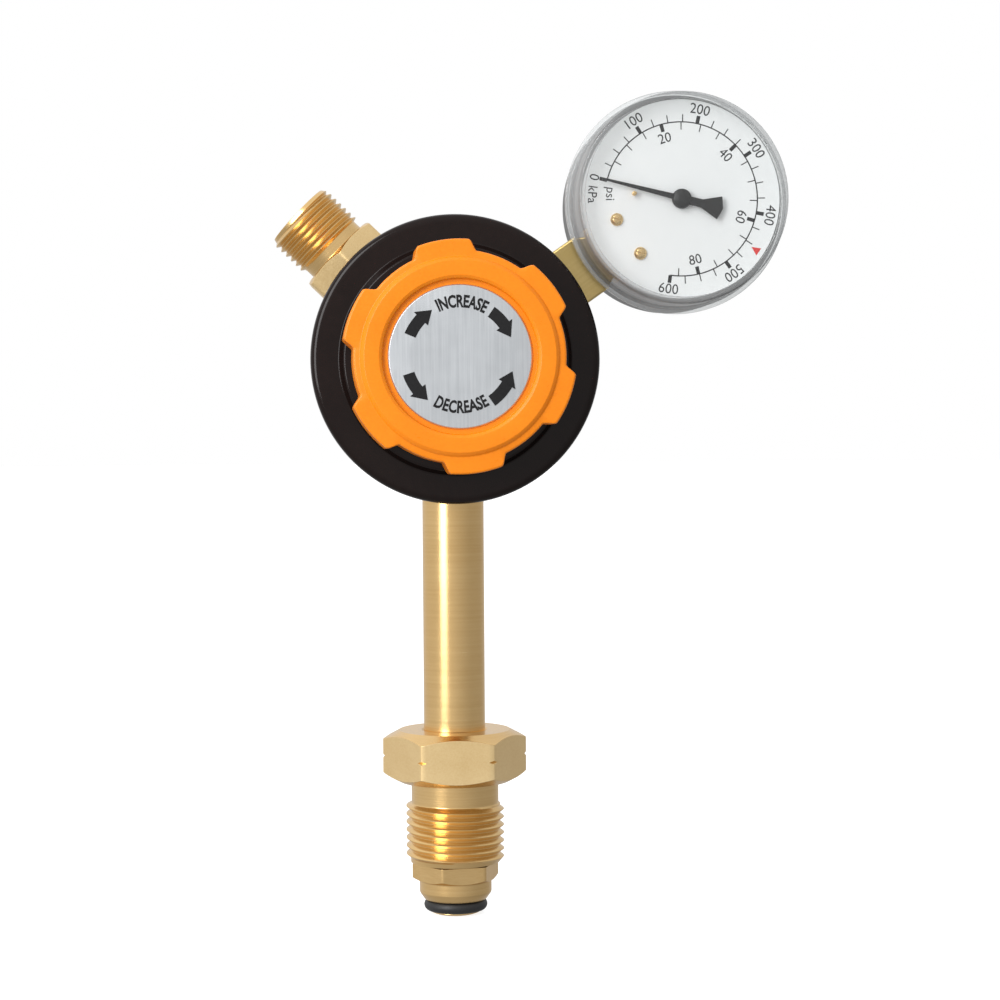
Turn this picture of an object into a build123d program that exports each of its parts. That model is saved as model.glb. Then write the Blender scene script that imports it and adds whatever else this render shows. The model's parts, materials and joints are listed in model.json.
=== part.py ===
from build123d import *
import os
from math import cos, radians, sin, sqrt, tan

# Gas cylinder pressure regulator with a hand knob, one gauge and a bull-nose inlet.
# Frame: X right, Y away from the knob, Z up. The inlet stem hangs down along -Z.
# Each sub-part is drawn about the crossing of the knob axis and the stem axis,
# then lifted so that the origin is the end of the inlet nut's full thread, on the stem axis.
# All sizes are in millimetres.

# ---------------------------------------------------------------- driving dimensions
THREAD_END_DROP = 113.3      # knob axis above the end of the inlet nut's full thread
OUTLET_ANGLE = 136.2         # port directions, counter-clockwise from +X
GAUGE_ANGLE = 35.0
INLET_ANGLE = 270.0

CHAMFER_ANGLE = 28.0         # of the hexagons' ends

PORT_FACE_R = 31.0           # port bosses end this far from the knob axis
PORT_FLOOR_R = 17.0          # bottom of each port's socket
BOSS_R = 9.5

BODY_R = 29.2
BODY_BACK = 11.0             # Y of the rear face
BODY_FRONT = -15.0           # Y of the face that clamps the diaphragm
BODY_THREAD_R = 30.0
BODY_CHAMFER = 5.5           # inward slope of the rear edge
CHAMBER_R = 22.5             # low-pressure chamber under the diaphragm
CHAMBER_FLOOR = -11.0
VALVE_CHAMBER_R = 6.5
VALVE_CHAMBER_FRONT = -2.0
VALVE_CHAMBER_BACK = 4.0
NOZZLE_R = 4.0
SEAT_FACE = -1.2
SEAT_DISC_R = 3.6
VALVE_PIN_R = 0.9
STUD_R = 2.5                 # of the diaphragm plate's centre
STUD_END = -13.6
CAP_THREAD_R = 8.0
CAP_RING_R = 9.8
CAP_GROOVE = 1.6
CAP_FLANGE_R = 11.0
CAP_FLANGE_BACK = 12.0
CAP_HEX_AF = 17.0
CAP_BACK = 16.5
POPPET_BACK = 3.0            # shoulder that carries the poppet's spring
POPPET_SPRING_BACK = 9.0

STEM_R = 7.0
STEM_BORE_R = 3.0
STEM_SPIGOT_R = 6.0
STEM_END = -114.5
NIPPLE_BORE_R = 2.0
FILTER_R = 2.8

NUT_TOP = -84.0
NUT_AF = 28.6
NUT_HEX_HEIGHT = 11.7
NUT_NECK_R = 9.95
NUT_CREST_R = 11.2
NUT_THREAD_TOP = -101.2
NUT_END = -114.3
NUT_PITCH = 1.814
NUT_THREAD_DEPTH = 1.0
NUT_BORE_R = 7.1
NUT_NOTCH_DEPTH = 0.55       # of the left-hand marks in the hexagon's corners
NUT_LAND = 0.885             # radius of the flat ends, as a share of the flats'

NOSE_HEX_AF = 17.6
NOSE_HEX_TURN = 9.7
NOSE_R = 8.25
NOSE_TIP_R = 4.65
NOSE_END = -126.2
NOSE_SPIGOT_R = 5.0
RING_Z = -124.2              # O-ring centre
RING_MEAN_R = 5.95
RING_SECTION_R = 1.3

OUTLET_END_R = 48.0          # distance of the outlet's end face from the knob axis
OUTLET_HEX_AF = 19.0
OUTLET_HEX_TURN = 30.0       # puts a corner towards -Y
OUTLET_HEX_END_R = 35.7
OUTLET_THREAD_START_R = 38.2
OUTLET_CREST_R = 8.7
OUTLET_PITCH = 1.5
OUTLET_THREAD_DEPTH = 0.92
OUTLET_BORE_R = 4.5
OUTLET_SPIGOT_R = 6.5
OUTLET_NECK_R = 7.7
OUTLET_CONE_R = 6.1          # mouth of the seat for a hose tail's nose
OUTLET_CONE_DEPTH = 1.6

BONNET_R = 31.9
BONNET_BACK = -10.0
BONNET_FACE = -19.5
BONNET_PLATEAU = -21.3
BONNET_PLATEAU_R = 25.0
BONNET_CLAMP = -16.6
HUB_R = 14.0
HUB_FRONT = -34.2
HUB_WALL = 2.6
SPRING_CAVITY_R = 11.2
KEY_WIDTH = 3.0
KEY_REACH = 12.3             # outer radius of the follower's two keys
SPINDLE_R = 4.0
BUSH_R = 5.5
RUNNING_GAP = 0.06
WASHER_THICKNESS = 0.6
DRIVE_SQUARE = 5.4           # spindle's end in the knob's insert
DRIVE_LENGTH = 2.8
INSERT_AF = 12.0
INSERT_FRONT = -37.0

KNOB_BACK = -22.5
KNOB_RIM = -38.6             # front of the lobed part
KNOB_CROWN = -39.6           # front of the raised ring
KNOB_LEDGE = -38.2           # floor that carries the label
KNOB_LOBE_R = 24.9
KNOB_VALLEY_R = 22.6
KNOB_LOBES = 6
KNOB_LOBE_ANGLE = 38.0       # direction of the first lobe
KNOB_LOBE_WIDTH = 30.0       # degrees
KNOB_FLANK = 5.2             # degrees between a lobe and a valley
KNOB_SCREW_R = 1.6
KNOB_DRAFT = 0.35            # the back is this much larger in radius than the front
KNOB_CAVITY_R = 15.6
KNOB_CEILING = -34.8
LABEL_R = 15.3
LABEL_WELL_R = 16.4

SPRING_WIRE_R = 0.95
SPRING_MEAN_R = 8.7
SPRING_TURNS = 3.4
FOLLOWER_SEAT = -30.1        # Y of the flange face that carries the range spring
PLATE_FRONT = -17.4
DIAPHRAGM_BACK = -15.0
DIAPHRAGM_FRONT = -16.0
DIAPHRAGM_R = 29.4
PLATE_R = 16.0

GAUGE_REACH = 61.4           # gauge axis from the knob axis
GAUGE_BACK = 9.5
GAUGE_CASE_R = 24.1
GAUGE_CASE_WALL = 0.8
GAUGE_CASE_FRONT = -8.0
SHANK_WIDTH = 14.0
GAUGE_SPIGOT_R = 5.5
GAUGE_BORE_R = 1.2
BLOW_OUT_R = 4.0
BLOW_OUT_Z = 10.0            # above the gauge's axis
SHANK_TOP = -23.0            # where the shank meets the block inside the case, below the gauge axis
SOCKET_BLOCK_FRONT = -5.7
CASE_SCREW_PLACES = ((-4.5, -14.0), (4.5, -14.0))
CASE_SCREW_R = 1.5
CASE_SCREW_END = 1.0         # Y of the screws' tips, inside the socket
DIAL_SCREW_PLACES = ((-4.55, -14.4), (4.55, -14.4))
LENS_RIM_R = 25.0
LENS_RIM_BACK = -7.3
LENS_RIM_FRONT = -9.3
LENS_FRONT = -21.5
LENS_SHOULDER_R = 23.3
LENS_WALL = 1.4
DIAL_FRONT = -17.2
DIAL_THICKNESS = 0.5
DIAL_R = 22.0
DIAL_SCREW_R = 0.8
DIAL_SCREW_END = -13.2
STOP_PIN_R = 0.5
ZERO_ANGLE = 221.0           # pointer at zero, with the dial upright
POINTER_Y = -18.4
POINTER_LENGTH = 18.2
ARBOR_R = 0.55
ARBOR_BACK = -5.9
PIVOT_R = 0.6
PIVOT_HOLE_R = 0.65
PLATE_GAP_FRONT = -11.7      # inner face of the movement's front plate
PLATE_GAP_BACK = -6.5        # inner face of its back plate
MOVEMENT_PLATE = 0.8
SECTOR_PIVOT_Z = -8.76
PILLARS = ((-5.0, 2.2), (5.0, 2.2), (-5.0, -11.4))
SECTOR_R = 7.2
PINION_R = 1.2
ARM_LENGTH = 4.0
ARM_ANGLE = -25.0
LINK_LENGTH = 8.0
LINK_ANGLE = 10.0
BOURDON_R = 17.2


# ---------------------------------------------------------------- shared helpers
def polar(radius, angle):
    """Point at a radius and an angle in degrees."""
    return radius * cos(radians(angle)), radius * sin(radians(angle))


def turned_y(points):
    """Solid of revolution about Y from (radius, y) points."""
    return revolve(make_face(Polyline(*points, close=True)), Axis.Y)


def turned_z(points):
    """Solid of revolution about Z from (radius, z) points."""
    face = make_face(Polyline(*[(r, 0, z) for r, z in points], close=True))
    return revolve(face, Axis.Z)


def rod_y(radius, y0, y1, x=0.0, z=0.0):
    """Cylinder along Y between y0 and y1."""
    rod = Rot(-90, 0, 0) * Cylinder(radius, y1 - y0)
    return Pos(x, (y0 + y1) / 2, z) * rod


def rod_z(radius, z0, z1):
    """Cylinder along Z between z0 and z1."""
    return Pos(0, 0, (z0 + z1) / 2) * Cylinder(radius, z1 - z0)


def tube_y(outer, inner, y0, y1, x=0.0, z=0.0):
    """Ring along Y."""
    return rod_y(outer, y0, y1, x, z) - rod_y(inner, y0 - 1, y1 + 1, x, z)


def slab(x0, x1, y0, y1, z0, z1):
    """Box between two corners."""
    box = Box(x1 - x0, y1 - y0, z1 - z0)
    return Pos((x0 + x1) / 2, (y0 + y1) / 2, (z0 + z1) / 2) * box


def hex_z(across_flats, z0, z1, chamfered=(True, True), turn=0.0, land=0.97):
    """Hexagon bar along Z with flats facing Y, its chosen ends chamfered outside the land.
    The land's radius is a share of the flats'."""
    corner = across_flats / sqrt(3)
    land_r = across_flats / 2 * land
    drop = (corner - land_r) * tan(radians(CHAMFER_ANGLE))
    profile = [(0, z0)]
    profile += [(land_r, z0), (corner, z0 + drop)] if chamfered[0] else [(corner, z0)]
    profile += [(corner, z1 - drop), (land_r, z1)] if chamfered[1] else [(corner, z1)]
    profile += [(0, z1)]
    prism = extrude(RegularPolygon(across_flats / 2, 6, major_radius=False), z1 - z0)
    prism = Pos(0, 0, z0) * Rot(0, 0, turn) * prism
    return prism & turned_z(profile)


def thread_profile(crest, depth, z0, z1, pitch):
    """(radius, z) points of a ringed thread, from z0 up to z1."""
    points = [(crest, z0)]
    turns = int((z1 - z0) / pitch)
    flat = pitch * 0.14
    for turn in range(turns):
        start = z0 + turn * pitch
        points += [
            (crest, start + flat),
            (crest - depth, start + pitch * 0.5),
            (crest - depth, start + pitch * 0.64),
            (crest, start + pitch),
        ]
    points += [(crest, z1)]
    return points


def port(solid, angle):
    """Turn a solid drawn along +Z so that it points out of the body at the angle."""
    return Rot(0, 90 - angle, 0) * solid


def gauge_place(solid):
    """Move a solid from the upright gauge's frame to its place on the body."""
    x, z = polar(GAUGE_REACH, GAUGE_ANGLE)
    return Pos(x, 0, z) * Rot(0, 90 - GAUGE_ANGLE, 0) * solid


def helix_spring(mean_r, wire_r, y0, y1, turns):
    """Coil spring along Y that fills the length from y0 to y1."""
    rise = (y1 - y0) - 2 * wire_r
    path = Helix(pitch=rise / turns, height=rise, radius=mean_r)
    section = Plane(origin=path @ 0, z_dir=path % 0) * Circle(wire_r)
    coil = sweep(section, path=path)
    return Pos(0, y0 + wire_r, 0) * Rot(-90, 0, 0) * coil


def pan_screw(radius, head_y, x, z, shank_r, shank_y):
    """Pan-head screw along Y whose head's underside is at head_y, facing -Y."""
    height = radius * 0.62
    dome = turned_y([(0, head_y), (radius, head_y), (radius, head_y - height * 0.45),
                     (radius * 0.8, head_y - height * 0.85), (radius * 0.45, head_y - height),
                     (0, head_y - height)])
    return Pos(x, 0, z) * (dome + rod_y(shank_r, head_y, shank_y))


# ---------------------------------------------------------------- pressure body
def regulator_body():
    core = turned_y([(0, BODY_FRONT), (BODY_THREAD_R, BODY_FRONT), (BODY_THREAD_R, BONNET_BACK),
                     (BODY_R, BONNET_BACK), (BODY_R, 5.0), (BODY_R - BODY_CHAMFER, BODY_BACK),
                     (0, BODY_BACK)])
    for angle in (OUTLET_ANGLE, GAUGE_ANGLE, INLET_ANGLE):
        core += port(rod_z(BOSS_R, 12.0, PORT_FACE_R), angle)
    core -= rod_y(CHAMBER_R, BODY_FRONT - 1, CHAMBER_FLOOR)
    core -= rod_y(NOZZLE_R, CHAMBER_FLOOR - 1, VALVE_CHAMBER_FRONT + 1)
    core -= rod_y(VALVE_CHAMBER_R, VALVE_CHAMBER_FRONT, BODY_BACK + 1)
    core -= rod_y(CAP_THREAD_R, VALVE_CHAMBER_BACK, BODY_BACK + 1)
    core -= rod_y(CAP_RING_R, BODY_BACK - CAP_GROOVE, BODY_BACK + 1)
    core -= port(rod_z(OUTLET_SPIGOT_R, PORT_FLOOR_R, PORT_FACE_R + 1), OUTLET_ANGLE)
    core -= port(rod_z(GAUGE_SPIGOT_R, PORT_FLOOR_R, PORT_FACE_R + 1), GAUGE_ANGLE)
    core -= port(rod_z(STEM_SPIGOT_R, PORT_FLOOR_R, PORT_FACE_R + 1), INLET_ANGLE)
    core -= port(rod_z(1.5, 5.0, PORT_FLOOR_R + 1), INLET_ANGLE)
    for angle, drill_r in ((OUTLET_ANGLE, 1.8), (GAUGE_ANGLE, GAUGE_BORE_R)):
        x, z = polar(19.0, angle)
        core -= rod_y(drill_r, CHAMBER_FLOOR - 1, 0, x, z)
    return core


def inlet_stem():
    stem = rod_z(STEM_R, STEM_END, -PORT_FACE_R) + rod_z(STEM_SPIGOT_R, -PORT_FACE_R, -PORT_FLOOR_R)
    stem -= rod_z(STEM_BORE_R, STEM_END - 1, 0)
    stem -= rod_z(NOSE_SPIGOT_R, STEM_END - 1, STEM_END + 7.0)
    return stem


def inlet_nipple():
    hex_bottom = STEM_END - 4.0
    bar = hex_z(NOSE_HEX_AF, hex_bottom, STEM_END, (True, False), NOSE_HEX_TURN)
    groove_r = RING_MEAN_R - RING_SECTION_R
    groove_top = RING_Z + RING_SECTION_R
    groove_bottom = RING_Z - RING_SECTION_R
    nose = turned_z([(0, hex_bottom), (NOSE_R, hex_bottom), (NOSE_R, -120.6), (NOSE_R - 0.3, -121.6),
                     (NOSE_R - 1.1, groove_top), (groove_r, groove_top), (groove_r, groove_bottom),
                     (6.1, groove_bottom), (5.9, groove_bottom - 0.3), (NOSE_TIP_R, NOSE_END), (0, NOSE_END)])
    nipple = bar + nose + rod_z(NOSE_SPIGOT_R, STEM_END, STEM_END + 6.5)
    nipple -= rod_z(NIPPLE_BORE_R, NOSE_END - 1, STEM_END + 10)
    nipple -= rod_z(FILTER_R, NOSE_END - 1, -118.0)
    return nipple


def nose_o_ring():
    return Pos(0, 0, RING_Z) * Torus(RING_MEAN_R, RING_SECTION_R)


def inlet_filter():
    return rod_z(FILTER_R, NOSE_END + 0.6, -119.0)


def inlet_nut():
    hex_bottom = NUT_TOP - NUT_HEX_HEIGHT
    bar = hex_z(NUT_AF, hex_bottom, NUT_TOP, land=NUT_LAND)
    middle = (NUT_TOP + hex_bottom) / 2
    corner = NUT_AF / sqrt(3)
    root = corner - NUT_NOTCH_DEPTH
    outside = root + 1.6
    bar -= turned_z([(outside, middle - 1.6), (root, middle), (outside, middle + 1.6)])
    thread = thread_profile(NUT_CREST_R, NUT_THREAD_DEPTH, -THREAD_END_DROP, NUT_THREAD_TOP, NUT_PITCH)
    shank = [(0, NUT_END), (NUT_CREST_R - 1.0, NUT_END)]
    shank += thread
    shank += [(NUT_NECK_R, NUT_THREAD_TOP + 0.3), (NUT_NECK_R, hex_bottom), (0, hex_bottom)]
    nut = bar + turned_z(shank)
    nut -= rod_z(NUT_BORE_R, NUT_END - 1, NUT_TOP + 1)
    return nut


def outlet_fitting():
    body = hex_z(OUTLET_HEX_AF, PORT_FACE_R, OUTLET_HEX_END_R, (False, True), OUTLET_HEX_TURN)
    thread = thread_profile(OUTLET_CREST_R, OUTLET_THREAD_DEPTH, OUTLET_THREAD_START_R,
                            OUTLET_END_R - 0.9, OUTLET_PITCH)
    outline = [(0, OUTLET_HEX_END_R), (OUTLET_NECK_R, OUTLET_HEX_END_R),
               (OUTLET_NECK_R, OUTLET_THREAD_START_R)]
    outline += thread
    outline += [(OUTLET_CREST_R - 0.95, OUTLET_END_R), (0, OUTLET_END_R)]
    body += turned_z(outline)
    body += rod_z(OUTLET_SPIGOT_R, PORT_FLOOR_R, PORT_FACE_R)
    body -= rod_z(OUTLET_BORE_R, PORT_FLOOR_R - 1, OUTLET_END_R + 1)
    cone_floor = OUTLET_END_R - OUTLET_CONE_DEPTH
    body -= turned_z([(0, cone_floor), (OUTLET_BORE_R, cone_floor), (OUTLET_CONE_R, OUTLET_END_R),
                      (OUTLET_CONE_R, OUTLET_END_R + 1), (0, OUTLET_END_R + 1)])
    return port(body, OUTLET_ANGLE)


def back_cap():
    hex_bar = Rot(-90, 0, 0) * hex_z(CAP_HEX_AF, CAP_FLANGE_BACK, CAP_BACK, (False, True))
    cap = rod_y(CAP_THREAD_R, VALVE_CHAMBER_BACK, BODY_BACK)
    cap += rod_y(CAP_FLANGE_R, BODY_BACK, CAP_FLANGE_BACK) + hex_bar
    cap -= rod_y(3.4, VALVE_CHAMBER_BACK - 1, POPPET_SPRING_BACK)
    cap -= tube_y(CAP_THREAD_R + 1, CAP_THREAD_R - 0.6, BODY_BACK - CAP_GROOVE, BODY_BACK)
    return cap


def back_cap_o_ring():
    section_r = CAP_GROOVE / 2
    return Pos(0, BODY_BACK - section_r, 0) * Rot(90, 0, 0) * Torus(8.6, section_r)


# ---------------------------------------------------------------- valve
def seat_nozzle():
    return turned_y([(1.5, CHAMBER_FLOOR), (NOZZLE_R, CHAMBER_FLOOR), (NOZZLE_R, VALVE_CHAMBER_FRONT),
                     (2.4, VALVE_CHAMBER_FRONT), (2.0, SEAT_FACE), (1.5, SEAT_FACE)])


def poppet():
    cup = rod_y(4.6, -0.8, POPPET_BACK) - rod_y(SEAT_DISC_R, SEAT_FACE - 1, 0.4)
    return cup + rod_y(1.7, POPPET_BACK, 7.0)


def poppet_seat_disc():
    return rod_y(SEAT_DISC_R, SEAT_FACE, 0.4)


def poppet_spring():
    return helix_spring(2.6, 0.4, POPPET_BACK, POPPET_SPRING_BACK, 4.5)


def valve_pin():
    return rod_y(VALVE_PIN_R, -12.6, SEAT_FACE)


def diaphragm():
    return tube_y(DIAPHRAGM_R, STUD_R, DIAPHRAGM_FRONT, DIAPHRAGM_BACK)


def diaphragm_plate():
    plate = turned_y([(0, PLATE_FRONT), (PLATE_R - 0.5, PLATE_FRONT), (PLATE_R, PLATE_FRONT + 0.5),
                      (PLATE_R, DIAPHRAGM_FRONT), (0, DIAPHRAGM_FRONT)])
    return plate + rod_y(STUD_R, DIAPHRAGM_FRONT, STUD_END)


def diaphragm_boss():
    boss = turned_y([(0, DIAPHRAGM_BACK), (6.0, DIAPHRAGM_BACK), (6.0, -13.2), (5.4, -12.6), (0, -12.6)])
    return boss - rod_y(STUD_R, DIAPHRAGM_BACK - 1, STUD_END)


def slip_ring():
    return tube_y(DIAPHRAGM_R, CHAMBER_R, BONNET_CLAMP, DIAPHRAGM_FRONT)


# ---------------------------------------------------------------- bonnet and adjustment
def bonnet():
    outside = [(HUB_R - 0.8, HUB_FRONT), (HUB_R, HUB_FRONT + 0.8), (HUB_R, BONNET_PLATEAU),
               (BONNET_PLATEAU_R - 0.7, BONNET_PLATEAU), (BONNET_PLATEAU_R, BONNET_PLATEAU + 0.7),
               (BONNET_PLATEAU_R + 0.5, BONNET_FACE), (BONNET_R, BONNET_FACE),
               (BONNET_R, BONNET_BACK)]
    inside = [(BODY_THREAD_R, BONNET_BACK), (BODY_THREAD_R, BONNET_CLAMP), (CHAMBER_R, BONNET_CLAMP),
              (CHAMBER_R - 0.6, -18.2), (SPRING_CAVITY_R + 1.0, -19.2), (SPRING_CAVITY_R, -20.2),
              (SPRING_CAVITY_R, HUB_FRONT + HUB_WALL), (BUSH_R, HUB_FRONT + HUB_WALL), (BUSH_R, HUB_FRONT)]
    shell = turned_y(outside + inside)
    rim = shell.edges().filter_by(GeomType.CIRCLE).filter_by(
        lambda e: abs(e.radius - BONNET_R) < 0.01 and abs(e.center().Y - BONNET_FACE) < 0.01)
    shell = fillet(rim, 1.8)
    half = KEY_WIDTH / 2 + 0.15
    keyway = slab(10.0, KEY_REACH + 0.2, HUB_FRONT + HUB_WALL, -25.0, -half, half)
    breather = rod_z(0.8, -25.5, -18.0)
    return shell - keyway - Rot(0, 180, 0) * keyway - Pos(0, -18.0, 0) * breather


def spindle_bush():
    return tube_y(BUSH_R, SPINDLE_R + RUNNING_GAP, HUB_FRONT, HUB_FRONT + HUB_WALL)


def thrust_washer():
    inside = HUB_FRONT + HUB_WALL
    return tube_y(6.0, SPINDLE_R + RUNNING_GAP, inside, inside + WASHER_THICKNESS)


def drive_square():
    """Square that turns the spindle, standing on a corner."""
    return Rot(-90, 0, 0) * Rot(0, 0, 45) * Box(DRIVE_SQUARE, DRIVE_SQUARE, DRIVE_LENGTH)


def spindle():
    collar = HUB_FRONT + HUB_WALL + WASHER_THICKNESS
    bar = rod_y(SPINDLE_R, HUB_FRONT, -19.8) + rod_y(5.6, collar, collar + 1.2)
    bar += Pos(0, HUB_FRONT - DRIVE_LENGTH / 2, 0) * drive_square()
    return bar - rod_y(KNOB_SCREW_R, -38.0, -30.0)


def spring_follower():
    flange_back = FOLLOWER_SEAT
    flange_front = FOLLOWER_SEAT - 1.2
    hat = turned_y([(6.2, flange_front), (10.6, flange_front), (10.6, flange_back), (6.9, flange_back),
                    (6.9, -23.4), (SPINDLE_R + RUNNING_GAP, -23.4), (SPINDLE_R + RUNNING_GAP, -29.4),
                    (6.2, -29.4)])
    for side in (-1, 1):
        centre = side * (10.0 + KEY_REACH) / 2
        hat += Pos(centre, (flange_front + flange_back) / 2, 0) * Box(KEY_REACH - 10.0, 1.2, KEY_WIDTH)
    return hat


def range_spring():
    return helix_spring(SPRING_MEAN_R, SPRING_WIRE_R, FOLLOWER_SEAT, PLATE_FRONT, SPRING_TURNS)


def knob_outline(lobe_r, valley_r):
    """Closed outline of the lobed knob, as a face in the XZ plane's (x, z)."""
    step = 360.0 / KNOB_LOBES
    flank = KNOB_FLANK
    edges = []
    for lobe in range(KNOB_LOBES):
        middle = KNOB_LOBE_ANGLE + lobe * step
        half = KNOB_LOBE_WIDTH / 2
        rise = [polar(valley_r, middle - half - flank / 2), polar(lobe_r, middle - half + flank / 2)]
        fall = [polar(lobe_r, middle + half - flank / 2), polar(valley_r, middle + half + flank / 2)]
        next_rise = polar(valley_r, middle + step - half - flank / 2)
        edges += [Line(rise[0], rise[1]),
                  ThreePointArc(rise[1], polar(lobe_r, middle), fall[0]),
                  Line(fall[0], fall[1]),
                  ThreePointArc(fall[1], polar(valley_r, middle + step / 2), next_rise)]
    outline = make_face(edges)
    return fillet(outline.vertices(), 0.8)


def knob():
    back = Pos(0, 0, -KNOB_BACK) * knob_outline(KNOB_LOBE_R + KNOB_DRAFT, KNOB_VALLEY_R + KNOB_DRAFT)
    front = Pos(0, 0, -KNOB_RIM) * knob_outline(KNOB_LOBE_R, KNOB_VALLEY_R)
    grip = Rot(90, 0, 0) * loft([back, front])
    crown = turned_y([(0, KNOB_RIM + 1), (21.4, KNOB_RIM + 1), (21.4, KNOB_RIM), (20.9, KNOB_RIM - 0.6),
                      (20.2, KNOB_CROWN + 0.3), (19.5, KNOB_CROWN), (17.2, KNOB_CROWN),
                      (16.6, KNOB_CROWN + 0.4), (LABEL_WELL_R, KNOB_LEDGE), (0, KNOB_LEDGE)])
    solid = grip + crown
    solid -= rod_y(LABEL_WELL_R, KNOB_CROWN - 1, KNOB_LEDGE)
    solid -= rod_y(KNOB_CAVITY_R, KNOB_CEILING, KNOB_BACK + 1)
    solid -= rod_y(4.0, KNOB_LEDGE - 1, INSERT_FRONT)
    solid -= Rot(-90, 0, 0) * hex_z(INSERT_AF, INSERT_FRONT, KNOB_CEILING + 0.1, (False, False))
    for lobe in range(KNOB_LOBES):
        x, z = polar(20.0, KNOB_LOBE_ANGLE + lobe * 360.0 / KNOB_LOBES)
        solid -= rod_y(2.4, KNOB_BACK - 12.0, KNOB_BACK + 1, x, z)
    return solid


def knob_insert():
    nut = Rot(-90, 0, 0) * hex_z(INSERT_AF, INSERT_FRONT, KNOB_CEILING, (False, False))
    square = Pos(0, INSERT_FRONT + DRIVE_LENGTH / 2, 0) * drive_square()
    return nut - square - rod_y(SPINDLE_R, -34.9, KNOB_CEILING + 1)


def knob_screw():
    head = rod_y(3.4, KNOB_LEDGE + 0.1, INSERT_FRONT)
    head -= slab(-3.5, 3.5, -38.2, -37.7, -0.4, 0.4)
    return head + rod_y(KNOB_SCREW_R, INSERT_FRONT, -30.5)


def label_disc():
    return turned_y([(0, KNOB_LEDGE - 0.75), (LABEL_R * 0.6, KNOB_LEDGE - 0.68),
                     (LABEL_R - 0.3, KNOB_LEDGE - 0.5), (LABEL_R, KNOB_LEDGE - 0.3),
                     (LABEL_R, KNOB_LEDGE), (0, KNOB_LEDGE)])


# ---------------------------------------------------------------- gauge, drawn upright
def socket_block():
    """The part of the socket inside the gauge's case."""
    half = SHANK_WIDTH / 2
    return slab(-half, half, SOCKET_BLOCK_FRONT, half, SHANK_TOP, -7.0)


def gauge_socket():
    half = SHANK_WIDTH / 2
    shank_end = PORT_FACE_R - GAUGE_REACH
    shank = slab(-half, half, -half, half, shank_end, SHANK_TOP)
    spigot = rod_z(GAUGE_SPIGOT_R, PORT_FLOOR_R - GAUGE_REACH, shank_end)
    solid = shank + socket_block() + spigot
    solid -= rod_z(GAUGE_BORE_R, PORT_FLOOR_R - GAUGE_REACH - 1, -12.0)
    for x, z in CASE_SCREW_PLACES:
        solid -= rod_y(CASE_SCREW_R, CASE_SCREW_END, SHANK_WIDTH, x, z)
    return solid


def gauge_case():
    wall = GAUGE_CASE_WALL
    corner = 2.5
    shell = turned_y([(0, GAUGE_BACK), (GAUGE_CASE_R - corner, GAUGE_BACK),
                      (GAUGE_CASE_R - 0.7, GAUGE_BACK - 0.8), (GAUGE_CASE_R, GAUGE_BACK - corner),
                      (GAUGE_CASE_R, GAUGE_CASE_FRONT), (GAUGE_CASE_R - wall, GAUGE_CASE_FRONT),
                      (GAUGE_CASE_R - wall, GAUGE_BACK - corner), (GAUGE_CASE_R - corner, GAUGE_BACK - wall),
                      (0, GAUGE_BACK - wall)])
    half = SHANK_WIDTH / 2 + 0.1
    shell -= slab(-half, half, -half, half, -30, -18)
    shell -= rod_y(BLOW_OUT_R, GAUGE_BACK - 2, GAUGE_BACK + 1, 0, BLOW_OUT_Z)
    for x, z in CASE_SCREW_PLACES:
        shell -= rod_y(CASE_SCREW_R, GAUGE_BACK - 2, GAUGE_BACK + 1, x, z)
    return shell


def case_screws():
    screw = Rot(0, 0, 180) * pan_screw(2.6, -GAUGE_BACK, 0, 0, CASE_SCREW_R, -CASE_SCREW_END)
    return Compound(children=[Pos(x, 0, z) * screw for x, z in CASE_SCREW_PLACES])


def blow_out_plug():
    plug = turned_y([(0, GAUGE_BACK - 1.6), (BLOW_OUT_R, GAUGE_BACK - 1.6), (BLOW_OUT_R, GAUGE_BACK),
                     (BLOW_OUT_R + 1.0, GAUGE_BACK), (BLOW_OUT_R + 0.7, GAUGE_BACK + 0.7),
                     (0, GAUGE_BACK + 1.0)])
    return Pos(0, 0, BLOW_OUT_Z) * plug


def lens_gasket():
    return tube_y(GAUGE_CASE_R - 0.1, GAUGE_CASE_R - 1.3, GAUGE_CASE_FRONT - 0.5, GAUGE_CASE_FRONT)


def gauge_lens():
    wall = LENS_WALL
    seat = GAUGE_CASE_FRONT - 0.5
    shell = turned_y([(0, LENS_FRONT), (LENS_SHOULDER_R - 1.5, LENS_FRONT),
                      (LENS_SHOULDER_R - 0.4, LENS_FRONT + 0.5), (LENS_SHOULDER_R, LENS_FRONT + 1.5),
                      (GAUGE_CASE_R, LENS_RIM_FRONT), (LENS_RIM_R, LENS_RIM_FRONT),
                      (LENS_RIM_R, LENS_RIM_BACK), (GAUGE_CASE_R + 0.05, LENS_RIM_BACK),
                      (GAUGE_CASE_R + 0.05, seat), (GAUGE_CASE_R - wall, seat),
                      (LENS_SHOULDER_R - wall, LENS_FRONT + wall + 0.6),
                      (LENS_SHOULDER_R - wall - 0.6, LENS_FRONT + wall), (0, LENS_FRONT + wall)])
    return shell


def gauge_dial():
    back = DIAL_FRONT + DIAL_THICKNESS
    hole_r = DIAL_SCREW_R + 0.1
    disc = rod_y(DIAL_R, DIAL_FRONT, back)
    for x, z in ((0, 0), *DIAL_SCREW_PLACES):
        disc -= rod_y(hole_r, DIAL_FRONT - 1, back + 1, x, z)
    return disc


def dial_posts():
    back = DIAL_FRONT + DIAL_THICKNESS
    post = rod_y(1.3, back, SOCKET_BLOCK_FRONT) - rod_y(DIAL_SCREW_R, DIAL_FRONT, DIAL_SCREW_END + 0.2)
    return Compound(children=[Pos(x, 0, z) * post for x, z in DIAL_SCREW_PLACES])


def dial_screws():
    return Compound(children=[pan_screw(1.55, DIAL_FRONT, x, z, DIAL_SCREW_R, DIAL_SCREW_END)
                              for x, z in DIAL_SCREW_PLACES])


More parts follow.
